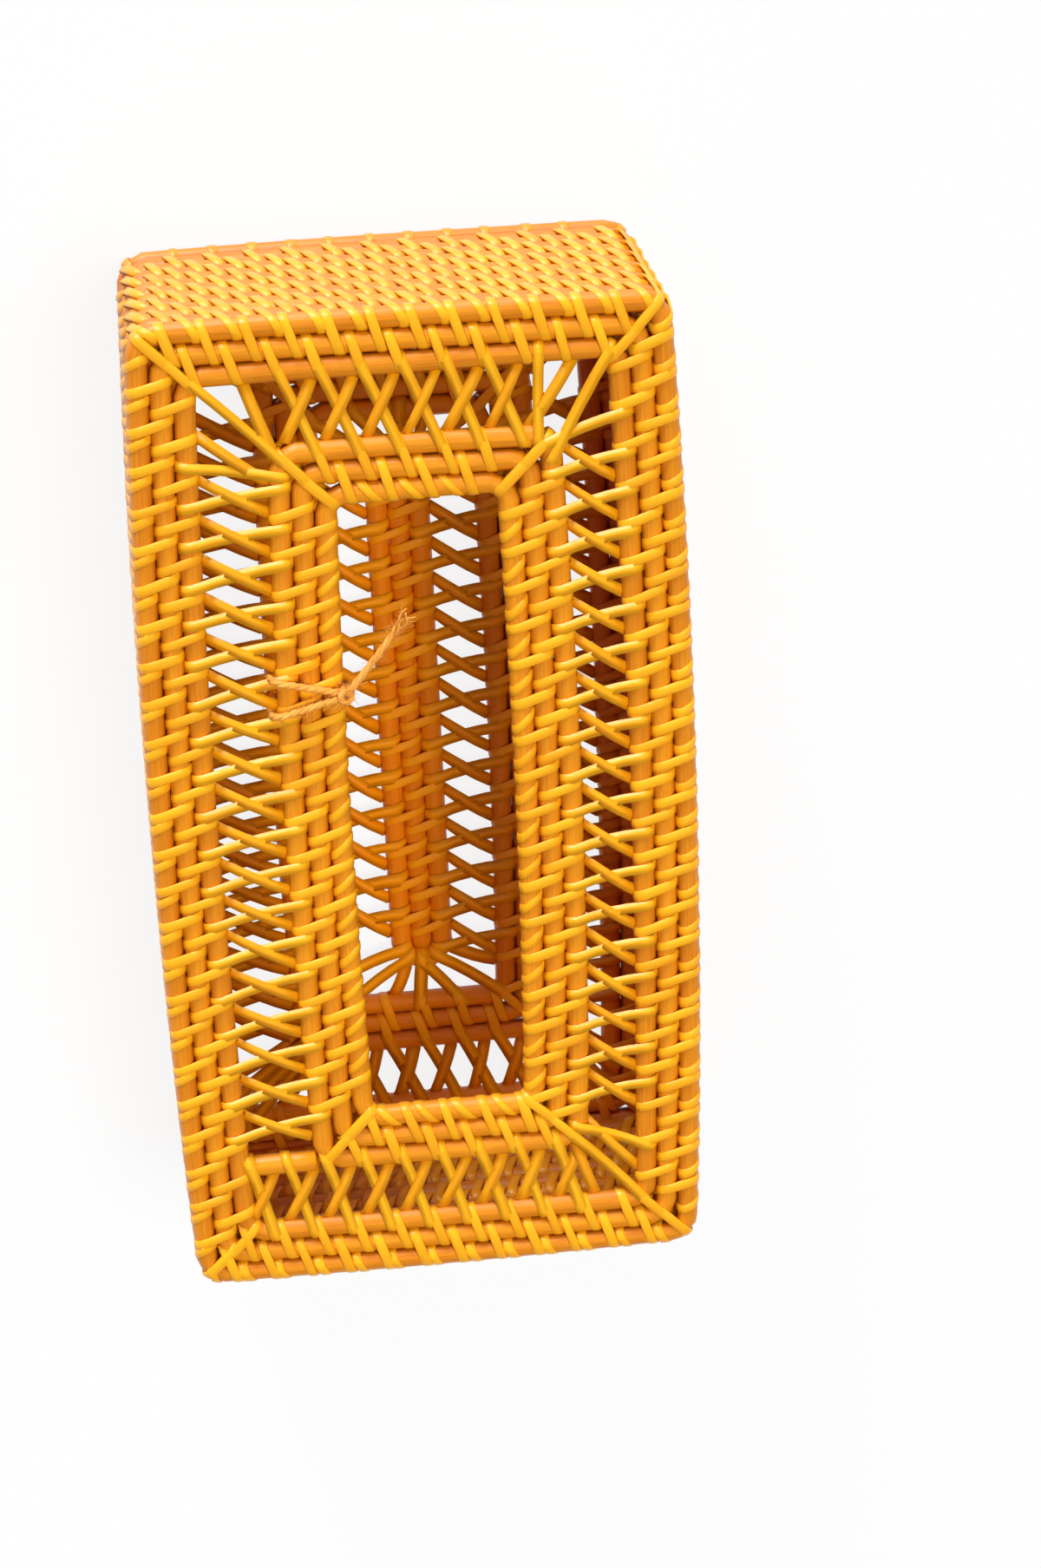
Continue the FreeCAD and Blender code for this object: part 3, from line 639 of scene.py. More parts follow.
def span_path(half_span, radius, lay, mid_level):
    """A strand from the outer rod to the inner one: an arc round each rod, tucked in at its free end, and a
    parabola between the arcs that passes mid_level halfway. Returns across and above places."""
    outer_reach = radius * TUCK_SHARES
    inner_reach = radius * TUCK_SHARES[::-1]
    start = half_span[:, None] + outer_reach * np.cos(lay.outer_turn)
    end = -half_span[:, None] + inner_reach * np.cos(lay.inner_turn)
    between = start[:, -1:] + (end[:, :1] - start[:, -1:]) * CROSSING_SHARES
    level = radius * (np.sin(lay.outer_turn[-1]) + np.sin(lay.inner_turn[0])) / 2
    sag = 4 * CROSSING_SHARES * (1 - CROSSING_SHARES)
    above = np.concatenate((outer_reach * np.sin(lay.outer_turn), level + (mid_level - level) * sag,
                            inner_reach * np.sin(lay.inner_turn)))
    across = np.concatenate((start, between, end), axis=1)
    return across, np.broadcast_to(above, across.shape)


def ring_strands(bundle, frames, spans, lay, slant=0.0, width=1.0):
    """Add open strands that cross a ring as lay says: a span path, sheared along the rods by slant, with the
    domed face square to the path."""
    count = len(frames[0])
    thickness = sizes().strand_thickness
    radius = sizes().rod_radius + thickness / 2
    mid_level = FRONT_LEVEL_SHARE * radius + lay.lift * thickness
    across, above = span_path(np.broadcast_to(spans, count) / 2, radius, lay, mid_level)
    slants = lay.lean * (slant + bundle.uneven(count, lay.slant_spread))
    path = in_frames(frames, across, slants[:, None] * across, above)
    ahead = unit(np.gradient(path, axis=1))
    wide = np.broadcast_to(frames[2][:, None, :], path.shape)
    wide = unit(wide - ahead * np.sum(ahead * wide, axis=-1, keepdims=True))
    widths = width * sizes().strand_width * (1 + bundle.uneven(count, STRAND_WIDTH_SPREAD))
    tones = lay.tone + bundle.uneven(count, STRAND_TONE_SPREAD)
    section = half_round(widths, thickness)
    bundle.add(path, wide, np.cross(ahead, wide), section, tones, False, mirrored=True)


def corner_fan(bundle, outer, inner, table, width):
    """Add the strands that fan round an open ring's corners. Each row of the table has a corner, the places on
    the outer and the inner hoop, in metres on from that corner's middle, and whether the strand goes over."""
    corner, start, end, over = (np.array(column) for column in zip(*table))
    far = outer.frames(outer.corner_lengths()[corner] + start)[0]
    near = inner.frames(inner.corner_lengths()[corner] + end)[0]
    for chosen, lay in ((over, FRONT), (~over, BACK)):
        frames, span = frames_between(far[chosen], near[chosen])
        ring_strands(bundle, frames, span, lay, width=width)


def cross_row(name, outer, inner, phases, limits, fan, body, seed):
    """The crossed strands of an open ring: on each side front strands, and back strands that cross over them.
    limits gives each side's reach before and after its middle."""
    bundle = Strands(seed)
    gaps = ring_gaps(outer, inner)
    width = STRAND_WIDTH_SHARES[body]
    for side in SIDES:
        runs = side_runs(inner, side, phases[side], limits[side])
        if not len(runs):
            continue
        origin, out, along, high = panel_frames(inner, side, runs)
        frames = (origin + out * (gaps[side] / 2), out, along, high)
        opening = gaps[side] - 2 * sizes().rod_radius
        back_slant = BACK_RUN_SHARES[body][side] * sizes().stitch_pitch / opening
        ring_strands(bundle, frames, gaps[side], FRONT, FRONT_SLANT_SHARES[body][side], width)
        ring_strands(bundle, frames, gaps[side], BACK, back_slant, width)
    corner_fan(bundle, outer, inner, fan, width)
    bundle.to_object(name.replace("lacing", "strands"), "lacing", body, name)


def wall_row(name, hoop, phases, seed, skipped=()):
    """A row of stitches round a wall rod and the one above it, also round the corners."""
    bundle = Strands(seed)
    spacing = sizes().stitch_pitch
    lengths = []
    for side in SIDES:
        limit = hoop.run(side)
        lengths.append(hoop.length_at(side, side_runs(hoop, side, phases[side], (-limit, limit))))
    lengths = even_fill(np.concatenate(lengths), hoop.total, spacing)
    for place in skipped:
        lengths = lengths[np.abs(lengths - place) > spacing / 2]
    wrap_stitches(bundle, wall_frames(hoop, lengths), ROD_PITCH / 2, roll=WALL_ROLL_SHARE)
    bundle.to_object(name.replace("lacing", "stitches"), "lacing", COVER, name)


def painted_groove_shades(profile, flanks):
    """What the corners of a rod's profile add to its tone, as painted shade in the grooves: a depth times a
    high power of cos t on the outer and the inner flank that lie against a neighbour."""
    across = profile[:, 0] / np.max(profile[:, 0])
    outer, inner = (np.maximum(way * across, 0) ** GROOVE_SHADE_NARROWNESS for way in (1, -1))
    return -GROOVE_SHADE_DEPTH * (flanks[0] * outer + flanks[1] * inner)


def rod_bulge():
    """How much wider a rod is towards the neighbours that it is sewn to, as a share."""
    return 1 + sizes().rod_press / sizes().rod_radius


def rod_piece(node, hoop, body, seed, flanks=NO_FLANKS):
    """A rod: a nearly round section carried along its hoop. Its line wanders by sums of sines of the length and
    its thickness by a cosine. It bulges upwards in a wall and sideways in a panel."""
    bundle = Strands(seed)
    rng = bundle.rng
    steps = int(hoop.total / ROD_STEP)
    even = np.linspace(0, hoop.total, steps, endpoint=False)
    lengths = np.sort(np.concatenate((even, hoop.marks[1:-1])))
    origin, out, _ = hoop.frames(lengths)
    phase = FULL_TURN * lengths / hoop.total
    waves = WANDER_WAVES[:, None]
    swing = rng.normal(0, 1, (2, len(waves))) / np.sqrt(WANDER_WAVES)
    wander = swing @ np.sin(waves * phase + rng.uniform(0, FULL_TURN, waves.shape))
    sideways, upwards = (wander * WANDER_REACH)[..., None]
    path = origin + out * sideways + UP * upwards
    thick = 1 + np.cos(THICKNESS_WAVES * phase + rng.uniform(0, THICKNESS_START)) * THICKNESS_SWING
    in_wall = node in WALL_RODS
    wide = out * thick[:, None] * (1 if in_wall else rod_bulge())
    high = np.broadcast_to(UP, out.shape) * thick[:, None] * (rod_bulge() if in_wall else 1)
    profile = round_profile(sizes().rod_radius, ROD_CORNERS)
    tone = ROD_TONE + bundle.uneven(1, ROD_TONE_SPREAD)
    # The flanks get painted shade where the rod lies against its neighbours in a groove
    bundle.add(path[None], wide[None], high[None], profile, tone, True, painted_groove_shades(profile, flanks))
    name = node.replace("_rod", "_cane").replace("heart_ring", "heart_hoop_cane")
    bundle.to_object(name, "rod", body, node)


def straight_rod_piece(node, axis, body, seed):
    """A straight rod along an axis of the box: a nearly round section carried from one end of its node's box to
    the other, with its rims rounded off. It bulges sideways as the bent rods do."""
    direction = np.eye(3)[axis]
    half = node_extent(node)[axis] / 2
    path = rod_middle(node) + direction * (STRAIGHT_SHARES * half)[:, None]
    wide = np.cross(UP, direction) * STRAIGHT_RIMS[:, None] * rod_bulge()
    tall = UP * STRAIGHT_RIMS[:, None]
    profile = round_profile(sizes().rod_radius, ROD_CORNERS)
    bundle = Strands(seed)
    tone = ROD_TONE + bundle.uneven(1, ROD_TONE_SPREAD)
    bundle.add(path[None], -wide[None], tall[None], profile, tone, False)
    bundle.to_object(node.replace("_rod", "_cane"), "rod", body, node)


# Finishes: the size of a streak along and across, in metres, and the range of roughness. Round cane has long
# streaks, split cane is shinier and twine is dull
FINISHES = {
    "rod": ((0.020, 0.0006), (0.34, 0.5)),
    "lacing": ((0.012, 0.0004), (0.28, 0.44)),
    "twine": ((0.003, 0.0002), (0.8, 0.95)),
}
# How far streaks and blotches shift the tone, the scale, detail and roughness of their noise, the factor and
# shift of the tone for the painted groove shade, strength and depth of the grain, and the shine
STREAK_CONTRAST = 1.5
BLOTCH_CONTRAST = 0.8
STREAK_NOISE = (1.0, 5.0, 0.6)
BLOTCH_NOISE = (55.0, 3.0, 0.55)
GROOVE_SHADE_RAMP = (-1.2, -0.1)
GRAIN_STRENGTH = 0.6
GRAIN_DEPTH = 0.0002
CANE_SHINE = 0.72


def nodes_of(material):
    """A new material's node tree with its shader."""
    material.use_nodes = True
    tree = material.node_tree
    return tree, tree.nodes["Principled BSDF"]


def linked(tree, kind, links=(), **settings):
    """A node with its properties set and its inputs linked or set."""
    node = tree.nodes.new(kind)
    for name, value in settings.items():
        setattr(node, name, value)
    for socket, value in links:
        if isinstance(value, bpy.types.NodeSocket):
            tree.links.new(value, node.inputs[socket])
        else:
            node.inputs[socket].default_value = value
    return node


def worked(tree, operation, *values, clamp=False):
    """What a Math node makes of sockets and numbers."""
    node = linked(tree, "ShaderNodeMath", enumerate(values), operation=operation, use_clamp=clamp)
    return node.outputs[0]


def ranged(tree, share, low, high):
    """A share from 0 to 1, brought to a range."""
    return linked(tree, "ShaderNodeMapRange", ((0, share), (3, low), (4, high))).outputs[0]


def mixed(tree, share, first, second):
    """The mix of two colours."""
    return linked(tree, "ShaderNodeMix", ((0, share), (6, first), (7, second)), data_type="RGBA").outputs[2]


def noise(tree, place, scale, detail, roughness):
    """The value of a noise."""
    links = (("Vector", place), ("Scale", scale), ("Detail", detail), ("Roughness", roughness))
    return linked(tree, "ShaderNodeTexNoise", links).outputs["Fac"]


def cane_material(name, light, dark, grain, roughness):
    """Cane: streaks along the strand from a noise stretched along its own UV map, a tone for each strand,
    blotches from a broad noise, painted shade where the tone is below zero, and fine grain as bump. grain is
    the size of a streak along and across, in metres."""
    material = bpy.data.materials.new(name)
    tree, shader = nodes_of(material)
    strand = linked(tree, "ShaderNodeUVMap", uv_map="Strand").outputs["UV"]
    scale = (1 / grain[0], 1 / grain[1], 1.0)
    strand_place = linked(tree, "ShaderNodeMapping", (("Vector", strand), ("Scale", scale))).outputs[0]
    streak = noise(tree, strand_place, *STREAK_NOISE)
    box_place = linked(tree, "ShaderNodeTexCoord").outputs["Object"]
    blotch = noise(tree, box_place, *BLOTCH_NOISE)
    tone = linked(tree, "ShaderNodeAttribute", attribute_name="tone").outputs["Fac"]
    streaks = worked(tree, "MULTIPLY_ADD", streak, STREAK_CONTRAST, -STREAK_CONTRAST / 2)
    blotches = worked(tree, "MULTIPLY_ADD", blotch, BLOTCH_CONTRAST, -BLOTCH_CONTRAST / 2)
    level = worked(tree, "ADD", worked(tree, "ADD", streaks, blotches), tone, clamp=True)
    colour = mixed(tree, level, (*dark, 1.0), (*light, 1.0))
    # Painted shade: below a tone of zero the colour darkens towards a deep groove colour
    painted_shade = worked(tree, "MULTIPLY_ADD", tone, *GROOVE_SHADE_RAMP, clamp=True)
    with_painted_shade = mixed(tree, painted_shade, colour, (*(np.array(dark) * GROOVE_SHADE_SHARES), 1.0))
    relief = linked(tree, "ShaderNodeBump",
                    (("Height", streak), ("Strength", GRAIN_STRENGTH), ("Distance", GRAIN_DEPTH))).outputs[0]
    rough = ranged(tree, streak, *roughness)
    for socket, value in (("Base Color", with_painted_shade), ("Roughness", rough), ("Normal", relief)):
        tree.links.new(value, shader.inputs[socket])
    shader.inputs["Specular IOR Level"].default_value = CANE_SHINE
    return material


def finish(kind, body):
    """The cover's or the base's material of a kind, made once."""
    # The base's colours carry painted shade for the inside of the box
    prefix = f"base_{kind}" if body == BASE else kind
    name = f"{prefix}_finish"
    light, dark = (getattr(colours(), f"{prefix}_{shade}") for shade in ("light", "dark"))
    return bpy.data.materials.get(name) or cane_material(name, light, dark, *FINISHES[kind])


def wall_phases():
    """Phases of each wall row on the four sides, from the foot up."""
    phases = [WALL_START_SHARES * sizes().stitch_pitch]
    for _ in range(WALL_ROWS - 1):
        phases.append(next_phases(phases[-1]))
    return phases


# Strands that fan round the corners: the corner, counter-clockwise from the one between +X and +Y, the places
# on the outer and the inner hoop in metres past the corner's middle, and whether the strand goes over both rods
TOP_FAN = (
    (0, 0.001, -0.004, True), (0, -0.015, 0.0, True), (0, 0.018, 0.002, True), (0, 0.008, 0.006, False),
    (1, 0.0, 0.0, True), (1, 0.0205, 0.004, True), (1, -0.012, 0.003, False), (1, 0.010, 0.009, False),
    (3, 0.0, 0.0, True), (3, 0.015, 0.0025, True), (3, 0.006, 0.006, False), (3, -0.011, -0.001, False),
)
BASE_FAN = tuple(
    strand for corner in SIDES
    for strand in ((corner, 0.0, 0.0, True), (corner, 0.010, 0.004, False), (corner, -0.010, -0.004, False),
                   (corner, 0.005, 0.0015, True), (corner, -0.005, -0.0015, True)))
HEART_FAN = tuple(
    strand for first, second in ((0, 1), (2, 3))
    for strand in ((first, 0.0, 0.0, True), (first, 0.0115, 0.001, False), (first, -0.009, -0.0025, True),
                   (first, 0.0195, 0.004, True), (second, 0.0, 0.0, True), (second, 0.008, 0.003, False),
                   (second, -0.011, -0.005, True)))


class CANE_OT_rods(Operator):
    """Bend the round rods of the top, the walls and the base"""

    bl_idname = "cane.rods"
    bl_label = "Rods"

    def execute(self, context):
        groups = (("panel_rods", COVER, TOP_BAND + SLOT_FRAME, BAND_FLANKS * 2),
                  ("wall_rods", COVER, WALL_RODS, (NO_FLANKS,) * WALL_ROWS),
                  ("base_rods", BASE, BASE_BAND + BASE_MIDDLE, BAND_FLANKS * 2))
        for group, body, nodes, flanks in groups:
            for count, node in enumerate(nodes):
                rod_piece(node, hoop_of(node), body, seed_of(group) + count, flanks[count])
        rod_piece("base_heart_ring", heart_hoop(), BASE, seed_of("heart_ring"))
        straight_rod_piece("corner_bridge_rod", 0, COVER, seed_of("bridge_rod"))
        straight_rod_piece("base_heart_rod", 1, BASE, seed_of("heart_rod"))
        return {"FINISHED"}


class CANE_OT_wall_lacing(Operator):
    """Sew the wall's rods together, row by row"""

    bl_idname = "cane.wall_lacing"
    bl_label = "Wall lacing"

    def execute(self, context):
        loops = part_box("base_hinge_loops")
        loop_places = np.array([corner.y for corner in loops])
        loop_places -= np.sign(loop_places) * sizes().hinge_loop_width / 2
        for count, (node, phases) in enumerate(zip(WALL_RODS, wall_phases()), start=1):
            hoop = hoop_of(node)
            skipped = np.mod(hoop.length_at(0, loop_places), hoop.total) if count == 1 else ()
            wall_row(f"wall_lacing_{count:02d}", hoop, phases, seed_of("wall_lacing") + count, skipped)
        return {"FINISHED"}


class CANE_OT_top_lacing(Operator):
    """Sew the top panel and cross the strands of its open ring"""

    bl_idname = "cane.top_lacing"
    bl_label = "Top lacing"

    def execute(self, context):
        seed = seed_of("top_lacing")
        edge, second, third = (hoop_of(node) for node in TOP_BAND)
        outer, middle, slot = (hoop_of(node) for node in SLOT_FRAME)
        edge_phases = next_phases(wall_phases()[-1])
        second_phases = next_phases(edge_phases)
        lead = cross_lead(third, outer)
        ring_phases = wrap_phase(second_phases - lead)
        frame_phases = wrap_phase(ring_phases - lead)
        panel_row("top_edge_lacing", edge, second, edge_phases, COVER, seed)
        panel_row("top_second_lacing", second, third, second_phases, COVER, seed + 1)
        panel_row("slot_frame_lacing", outer, middle, frame_phases, COVER, seed + 2)
        panel_row("slot_edge_lacing", middle, slot, next_phases(frame_phases), COVER, seed + 3, True)
        limits = outer.whole_sides()
        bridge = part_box("corner_bridge_rod")[0]
        limits[3] = (bridge.x - outer.middle[0] + sizes().rod_radius, outer.run(3))
        cross_row("top_cross_lacing", third, outer, ring_phases, limits, TOP_FAN, COVER, seed + 4)
        return {"FINISHED"}


class CANE_OT_base_lacing(Operator):
    """Sew the base panel and cross the strands of its two open rings"""

    bl_idname = "cane.base_lacing"
    bl_label = "Base lacing"

    def rows(self, hoops, start):
        """Phases of every row, worked inwards from the edge row."""
        second = next_phases(start, BASE_ADVANCE_SHARE)
        outer_lead = cross_lead(hoops[2], hoops[3])
        outer_cross = wrap_phase(second - outer_lead)
        middle = wrap_phase(outer_cross - outer_lead)
        inner = next_phases(middle, BASE_ADVANCE_SHARE)
        inner_lead = cross_lead(hoops[5], hoops[6])
        inner_cross = wrap_phase(inner - inner_lead)
        return start, second, outer_cross, middle, inner, inner_cross, wrap_phase(inner_cross - inner_lead)

    def execute(self, context):
        seed = seed_of("base_lacing")
        heart = heart_hoop()
        hoops = [hoop_of(node) for node in BASE_BAND + BASE_MIDDLE] + [heart]
        start = np.array((HINGE_SIDE_SHARE * sizes().stitch_pitch, 0.0, 0.0, 0.0))
        last = self.rows(hoops, start)[-1]
        lean = STITCH_SLANT_SHARE * ROD_PITCH
        start[2] = lean - last[0] - last[2]
        rows = self.rows(hoops, start)
        for count, (name, place) in enumerate((("edge", 0), ("second", 1), ("middle", 3), ("inner", 4))):
            panel_row(f"base_{name}_lacing", hoops[place], hoops[place + 1], rows[place], BASE, seed + count)
        cross_row("base_outer_cross_lacing", hoops[2], hoops[3], rows[2], hoops[3].whole_sides(), BASE_FAN,
                  BASE, seed + 4)
        cross_row("base_inner_cross_lacing", hoops[5], heart, rows[5], heart.whole_sides(), HEART_FAN,
                  BASE, seed + 5)
        self.heart_stitches(heart, rows[6], lean, seed + 6)
        return {"FINISHED"}

    def heart_stitches(self, heart, phases, lean, seed):
        """Sew the heart's hoop to its rod from both long sides in turn."""
        bundle = Strands(seed)
        limit = heart.run(0)
        right = side_runs(heart, 0, phases[0], (-limit, limit))
        left = lean - right - sizes().stitch_pitch / 2
        half_hoop = Hoop(heart.middle, heart.half_width / 2, heart.half_length, heart.corner / 2,
                         sizes().heart_bow)
        for side, runs in ((0, right), (2, left)):
            wrap_stitches(bundle, panel_frames(half_hoop, side, runs), ROD_PITCH / 2)
        bundle.to_object("base_heart_stitches", "lacing", BASE, "base_heart_lacing")


# Hinge loops: their clearance round the rod, in metres, the steps round each end, and a tone for each loop
LOOP_CLEARANCE = 0.0002
LOOP_STEPS = 9
LOOP_TONES = (0.6, 0.7)


class CANE_OT_hinge_loops(Operator):
    """Loop the base to the wall's foot rod"""

    bl_idname = "cane.hinge_loops"
    bl_label = "Hinge loops"

    def execute(self, context):
        low, high = (np.array(corner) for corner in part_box("base_hinge_loops"))
        width = sizes().hinge_loop_width
        origin = np.tile((low + high) / 2, (2, 1))
        origin[:, 1] = low[1] + width / 2, high[1] - width / 2
        along, out = (np.tile(way, (2, 1)) for way in ((0.0, 1.0, 0.0), (1.0, 0.0, 0.0)))
        frames = (origin, np.tile(-UP, (2, 1)), along, out)
        reach = (high[0] - low[0]) / 2
        thickness = reach - ROD_RADIUS - LOOP_CLEARANCE
        half_span = np.full(2, (high[2] - low[2] - (high[0] - low[0])) / 2)
        places = wrap_path(half_span, np.full(2, reach - thickness / 2), np.zeros(2), LOOP_STEPS)
        bundle = Strands(seed_of("hinge_loops"))
        add_wraps(bundle, frames, places, np.full(2, width), thickness, np.array(LOOP_TONES))
        bundle.to_object("base_hinge_cane", "lacing", BASE, "base_hinge_loops")
        return {"FINISHED"}


# Twine: a full turn of its yarns in diameters of length, a yarn's radius as a share of the diameter, the
# corners of its section, and the direction that its frames are kept square to
TWINE_LAY = 3.4
YARN_RADIUS_SHARE = 0.29
YARN_CORNERS = 7
YARN_HINT = np.array((0.31, 0.93, 0.2))
# Loose fibres: their section, steps and tone, the root as a share of the diameter, ranges of lean and length,
# the power that they bend by, and their thickness at the root with what it loses to the tip
FIBRE_RADIUS = 0.00005
FIBRE_CORNERS = 3
FIBRE_STEPS = 4
FIBRE_STEP_LENGTH = 0.0004
FIBRE_TONE = 0.5
FIBRE_TONE_SPREAD = 0.25
FIBRE_ROOT_SHARE = 0.42
FIBRE_LEANS = (-1.2, 1.6)
FIBRE_LENGTHS = (0.4, 1.0)
FIBRE_BEND = 1.6
FIBRE_TAPER = (1.05, 0.75)


class TwineRun(NamedTuple):
    """A run of twine: its diameter as a share of the twine's, its steps, the tones of its yarns, their lay, and
    the number and the reach of its loose fibres."""

    share: float
    steps: int
    tones: tuple
    lay: float
    fibres: tuple


TIE = TwineRun(1.0, 150, (0.35, 0.55, 0.75), TWINE_LAY, (170, 0.0019))
KNOT = TwineRun(0.9, 110, (0.3, 0.5, 0.7), TWINE_LAY, (110, 0.0021))
TAIL = TwineRun(1.05, 80, (0.55, 0.75, 0.95), 5.0, (150, 0.0017))
# The tie: the points of its loop, its stand-off in diameters, slant and lift of its two passes in metres, the
# sine at which its underside starts and how much of the slant is left there
TIE_POINTS = 61
TIE_STANDOFF = 0.75
TIE_PASSES = ((0.0046, 0.0), (-0.0050, 0.0003))
TIE_UNDERSIDE = -0.2
TIE_UNDER_SHARE = 0.4
# The knot: the points of its coil, its turn, its half sizes, and its inset from the corner of the node's box
KNOT_POINTS = 90
KNOT_TURN = 4.6 * math.pi
KNOT_RADII = np.array((0.0013, 0.00135, 0.0010))
KNOT_INSET = np.array((0.0022, 0.0, 0.0018))
# The free end: its inset from the corner of the node's box and its route from the knot in metres, what its
# yarns lose in thickness along it and in the fray, where and how far it frays, and the fray's own fibres
TAIL_INSET = np.array((0.0005, 0.0004, 0.0006))
TAIL_ROUTE = np.array(((0.0, 0.0, 0.0), (0.0044, 0.0057, 0.0018), (0.0099, 0.0135, 0.0033),
                       (0.0147, 0.0197, 0.0040)))
TAIL_THINNING = 0.25
FRAY_THINNING = 0.45
FRAY_START = 0.68
FRAY_SPREAD = 3.2
FRAY_BEND = 1.5
FRAY_STEP = 56
FRAY_FIBRES = (60, 0.0026)


def even_path(points, steps):
    """A polyline resampled at even steps of its length."""
    points = np.asarray(points, float)
    length = np.concatenate(((0.0,), np.cumsum(np.linalg.norm(np.diff(points, axis=0), axis=-1))))
    places = np.linspace(0, length[-1], steps)
    return np.stack([np.interp(places, length, points[:, axis]) for axis in range(3)], axis=-1), length[-1]


def smooth_route(points, steps):
    """The smooth line of a given route: a quadratic NURBS curve with the points as its controls."""
    curve = bpy.data.curves.new("route", "CURVE")
    curve.dimensions = "3D"
    spline = curve.splines.new("NURBS")
    spline.points.add(len(points) - 1)
    spline.points.foreach_set("co", np.concatenate((points, np.ones((len(points), 1))), axis=1).ravel())
    spline.order_u = 3
    spline.use_endpoint_u = True
    spline.resolution_u = 24
    holder = bpy.data.objects.new("route", curve)
    mesh = bpy.data.meshes.new_from_object(holder)
    line = np.zeros(len(mesh.vertices) * 3)
    mesh.vertices.foreach_get("co", line)
    bpy.data.objects.remove(holder)
    bpy.data.curves.remove(curve)
    bpy.data.meshes.remove(mesh)
    return even_path(line.reshape(-1, 3), steps)


def path_frames(path):
    """Directions square to a path: one square to a fixed hint as well, and one square to both."""
    ahead = unit(np.gradient(path, axis=0))
    side = unit(np.cross(ahead, YARN_HINT))
    return side, np.cross(side, ahead)


def twist_yarns(bundle, path, length, run, spread=1.0, taper=1.0):
    """Add a run's yarns, twisted round a path, and its fibres: a yarn's centre lies at r (cos a, sin a) across
    the path, with the angle a growing by a full turn for each lay diameters of length. spread and taper scale r
    and the yarn."""
    side, top = path_frames(path)
    diameter = sizes().twine_diameter * run.share
    turn = FULL_TURN * length / (run.lay * diameter) * np.linspace(0, 1, len(path))
    yarns = len(run.tones)
    starts = FULL_TURN * np.arange(yarns) / yarns
    yarn_radius = diameter * YARN_RADIUS_SHARE
    angle = starts[:, None] + turn[None, :]
    offset = np.cos(angle)[..., None] * side + np.sin(angle)[..., None] * top
    reach = np.broadcast_to(spread, len(path))[:, None] * (diameter / 2 - yarn_radius)
    thin = np.broadcast_to(taper, len(path))[:, None]
    line = path[None] + offset * reach
    wide, high = (np.stack(way) for way in zip(*(path_frames(one) for one in line)))
    profile = round_profile(yarn_radius, YARN_CORNERS)
    bundle.add(line, wide * thin, high * thin, profile, np.array(run.tones), False)
    loose_fibres(bundle, path, *run.fibres)


def loose_fibres(bundle, path, count, reach):
    """Add short fibres that stand off a path for the twine's fuzz: each runs outwards by its length times a
    share and bends along the path by a power of that share, tapering to its tip."""
    side, top = path_frames(path)
    rng = bundle.rng
    places = rng.integers(1, len(path) - 2, count)
    angle = rng.uniform(0, FULL_TURN, count)
    out = np.cos(angle)[:, None] * side[places] + np.sin(angle)[:, None] * top[places]
    ahead = unit(path[places + 1] - path[places - 1])
    lean = rng.uniform(*FIBRE_LEANS, count)[:, None]
    length = reach * rng.uniform(*FIBRE_LENGTHS, count)[:, None]
    share = np.linspace(0, 1, FIBRE_STEPS)[None, :, None]
    start = path[places] + out * (sizes().twine_diameter * FIBRE_ROOT_SHARE)
    outwards = (out * length)[:, None, :] * share
    line = start[:, None, :] + outwards + (ahead * lean * length)[:, None, :] * share**FIBRE_BEND
    wide = np.broadcast_to(np.cross(out, ahead)[:, None, :], line.shape)
    taper = FIBRE_TAPER[0] - FIBRE_TAPER[1] * share
    high = np.cross(wide, np.gradient(line, axis=1) / FIBRE_STEP_LENGTH)
    tones = FIBRE_TONE + bundle.uneven(count, FIBRE_TONE_SPREAD)
    bundle.add(line, wide * taper, high * taper, round_profile(FIBRE_RADIUS, FIBRE_CORNERS), tones, False)


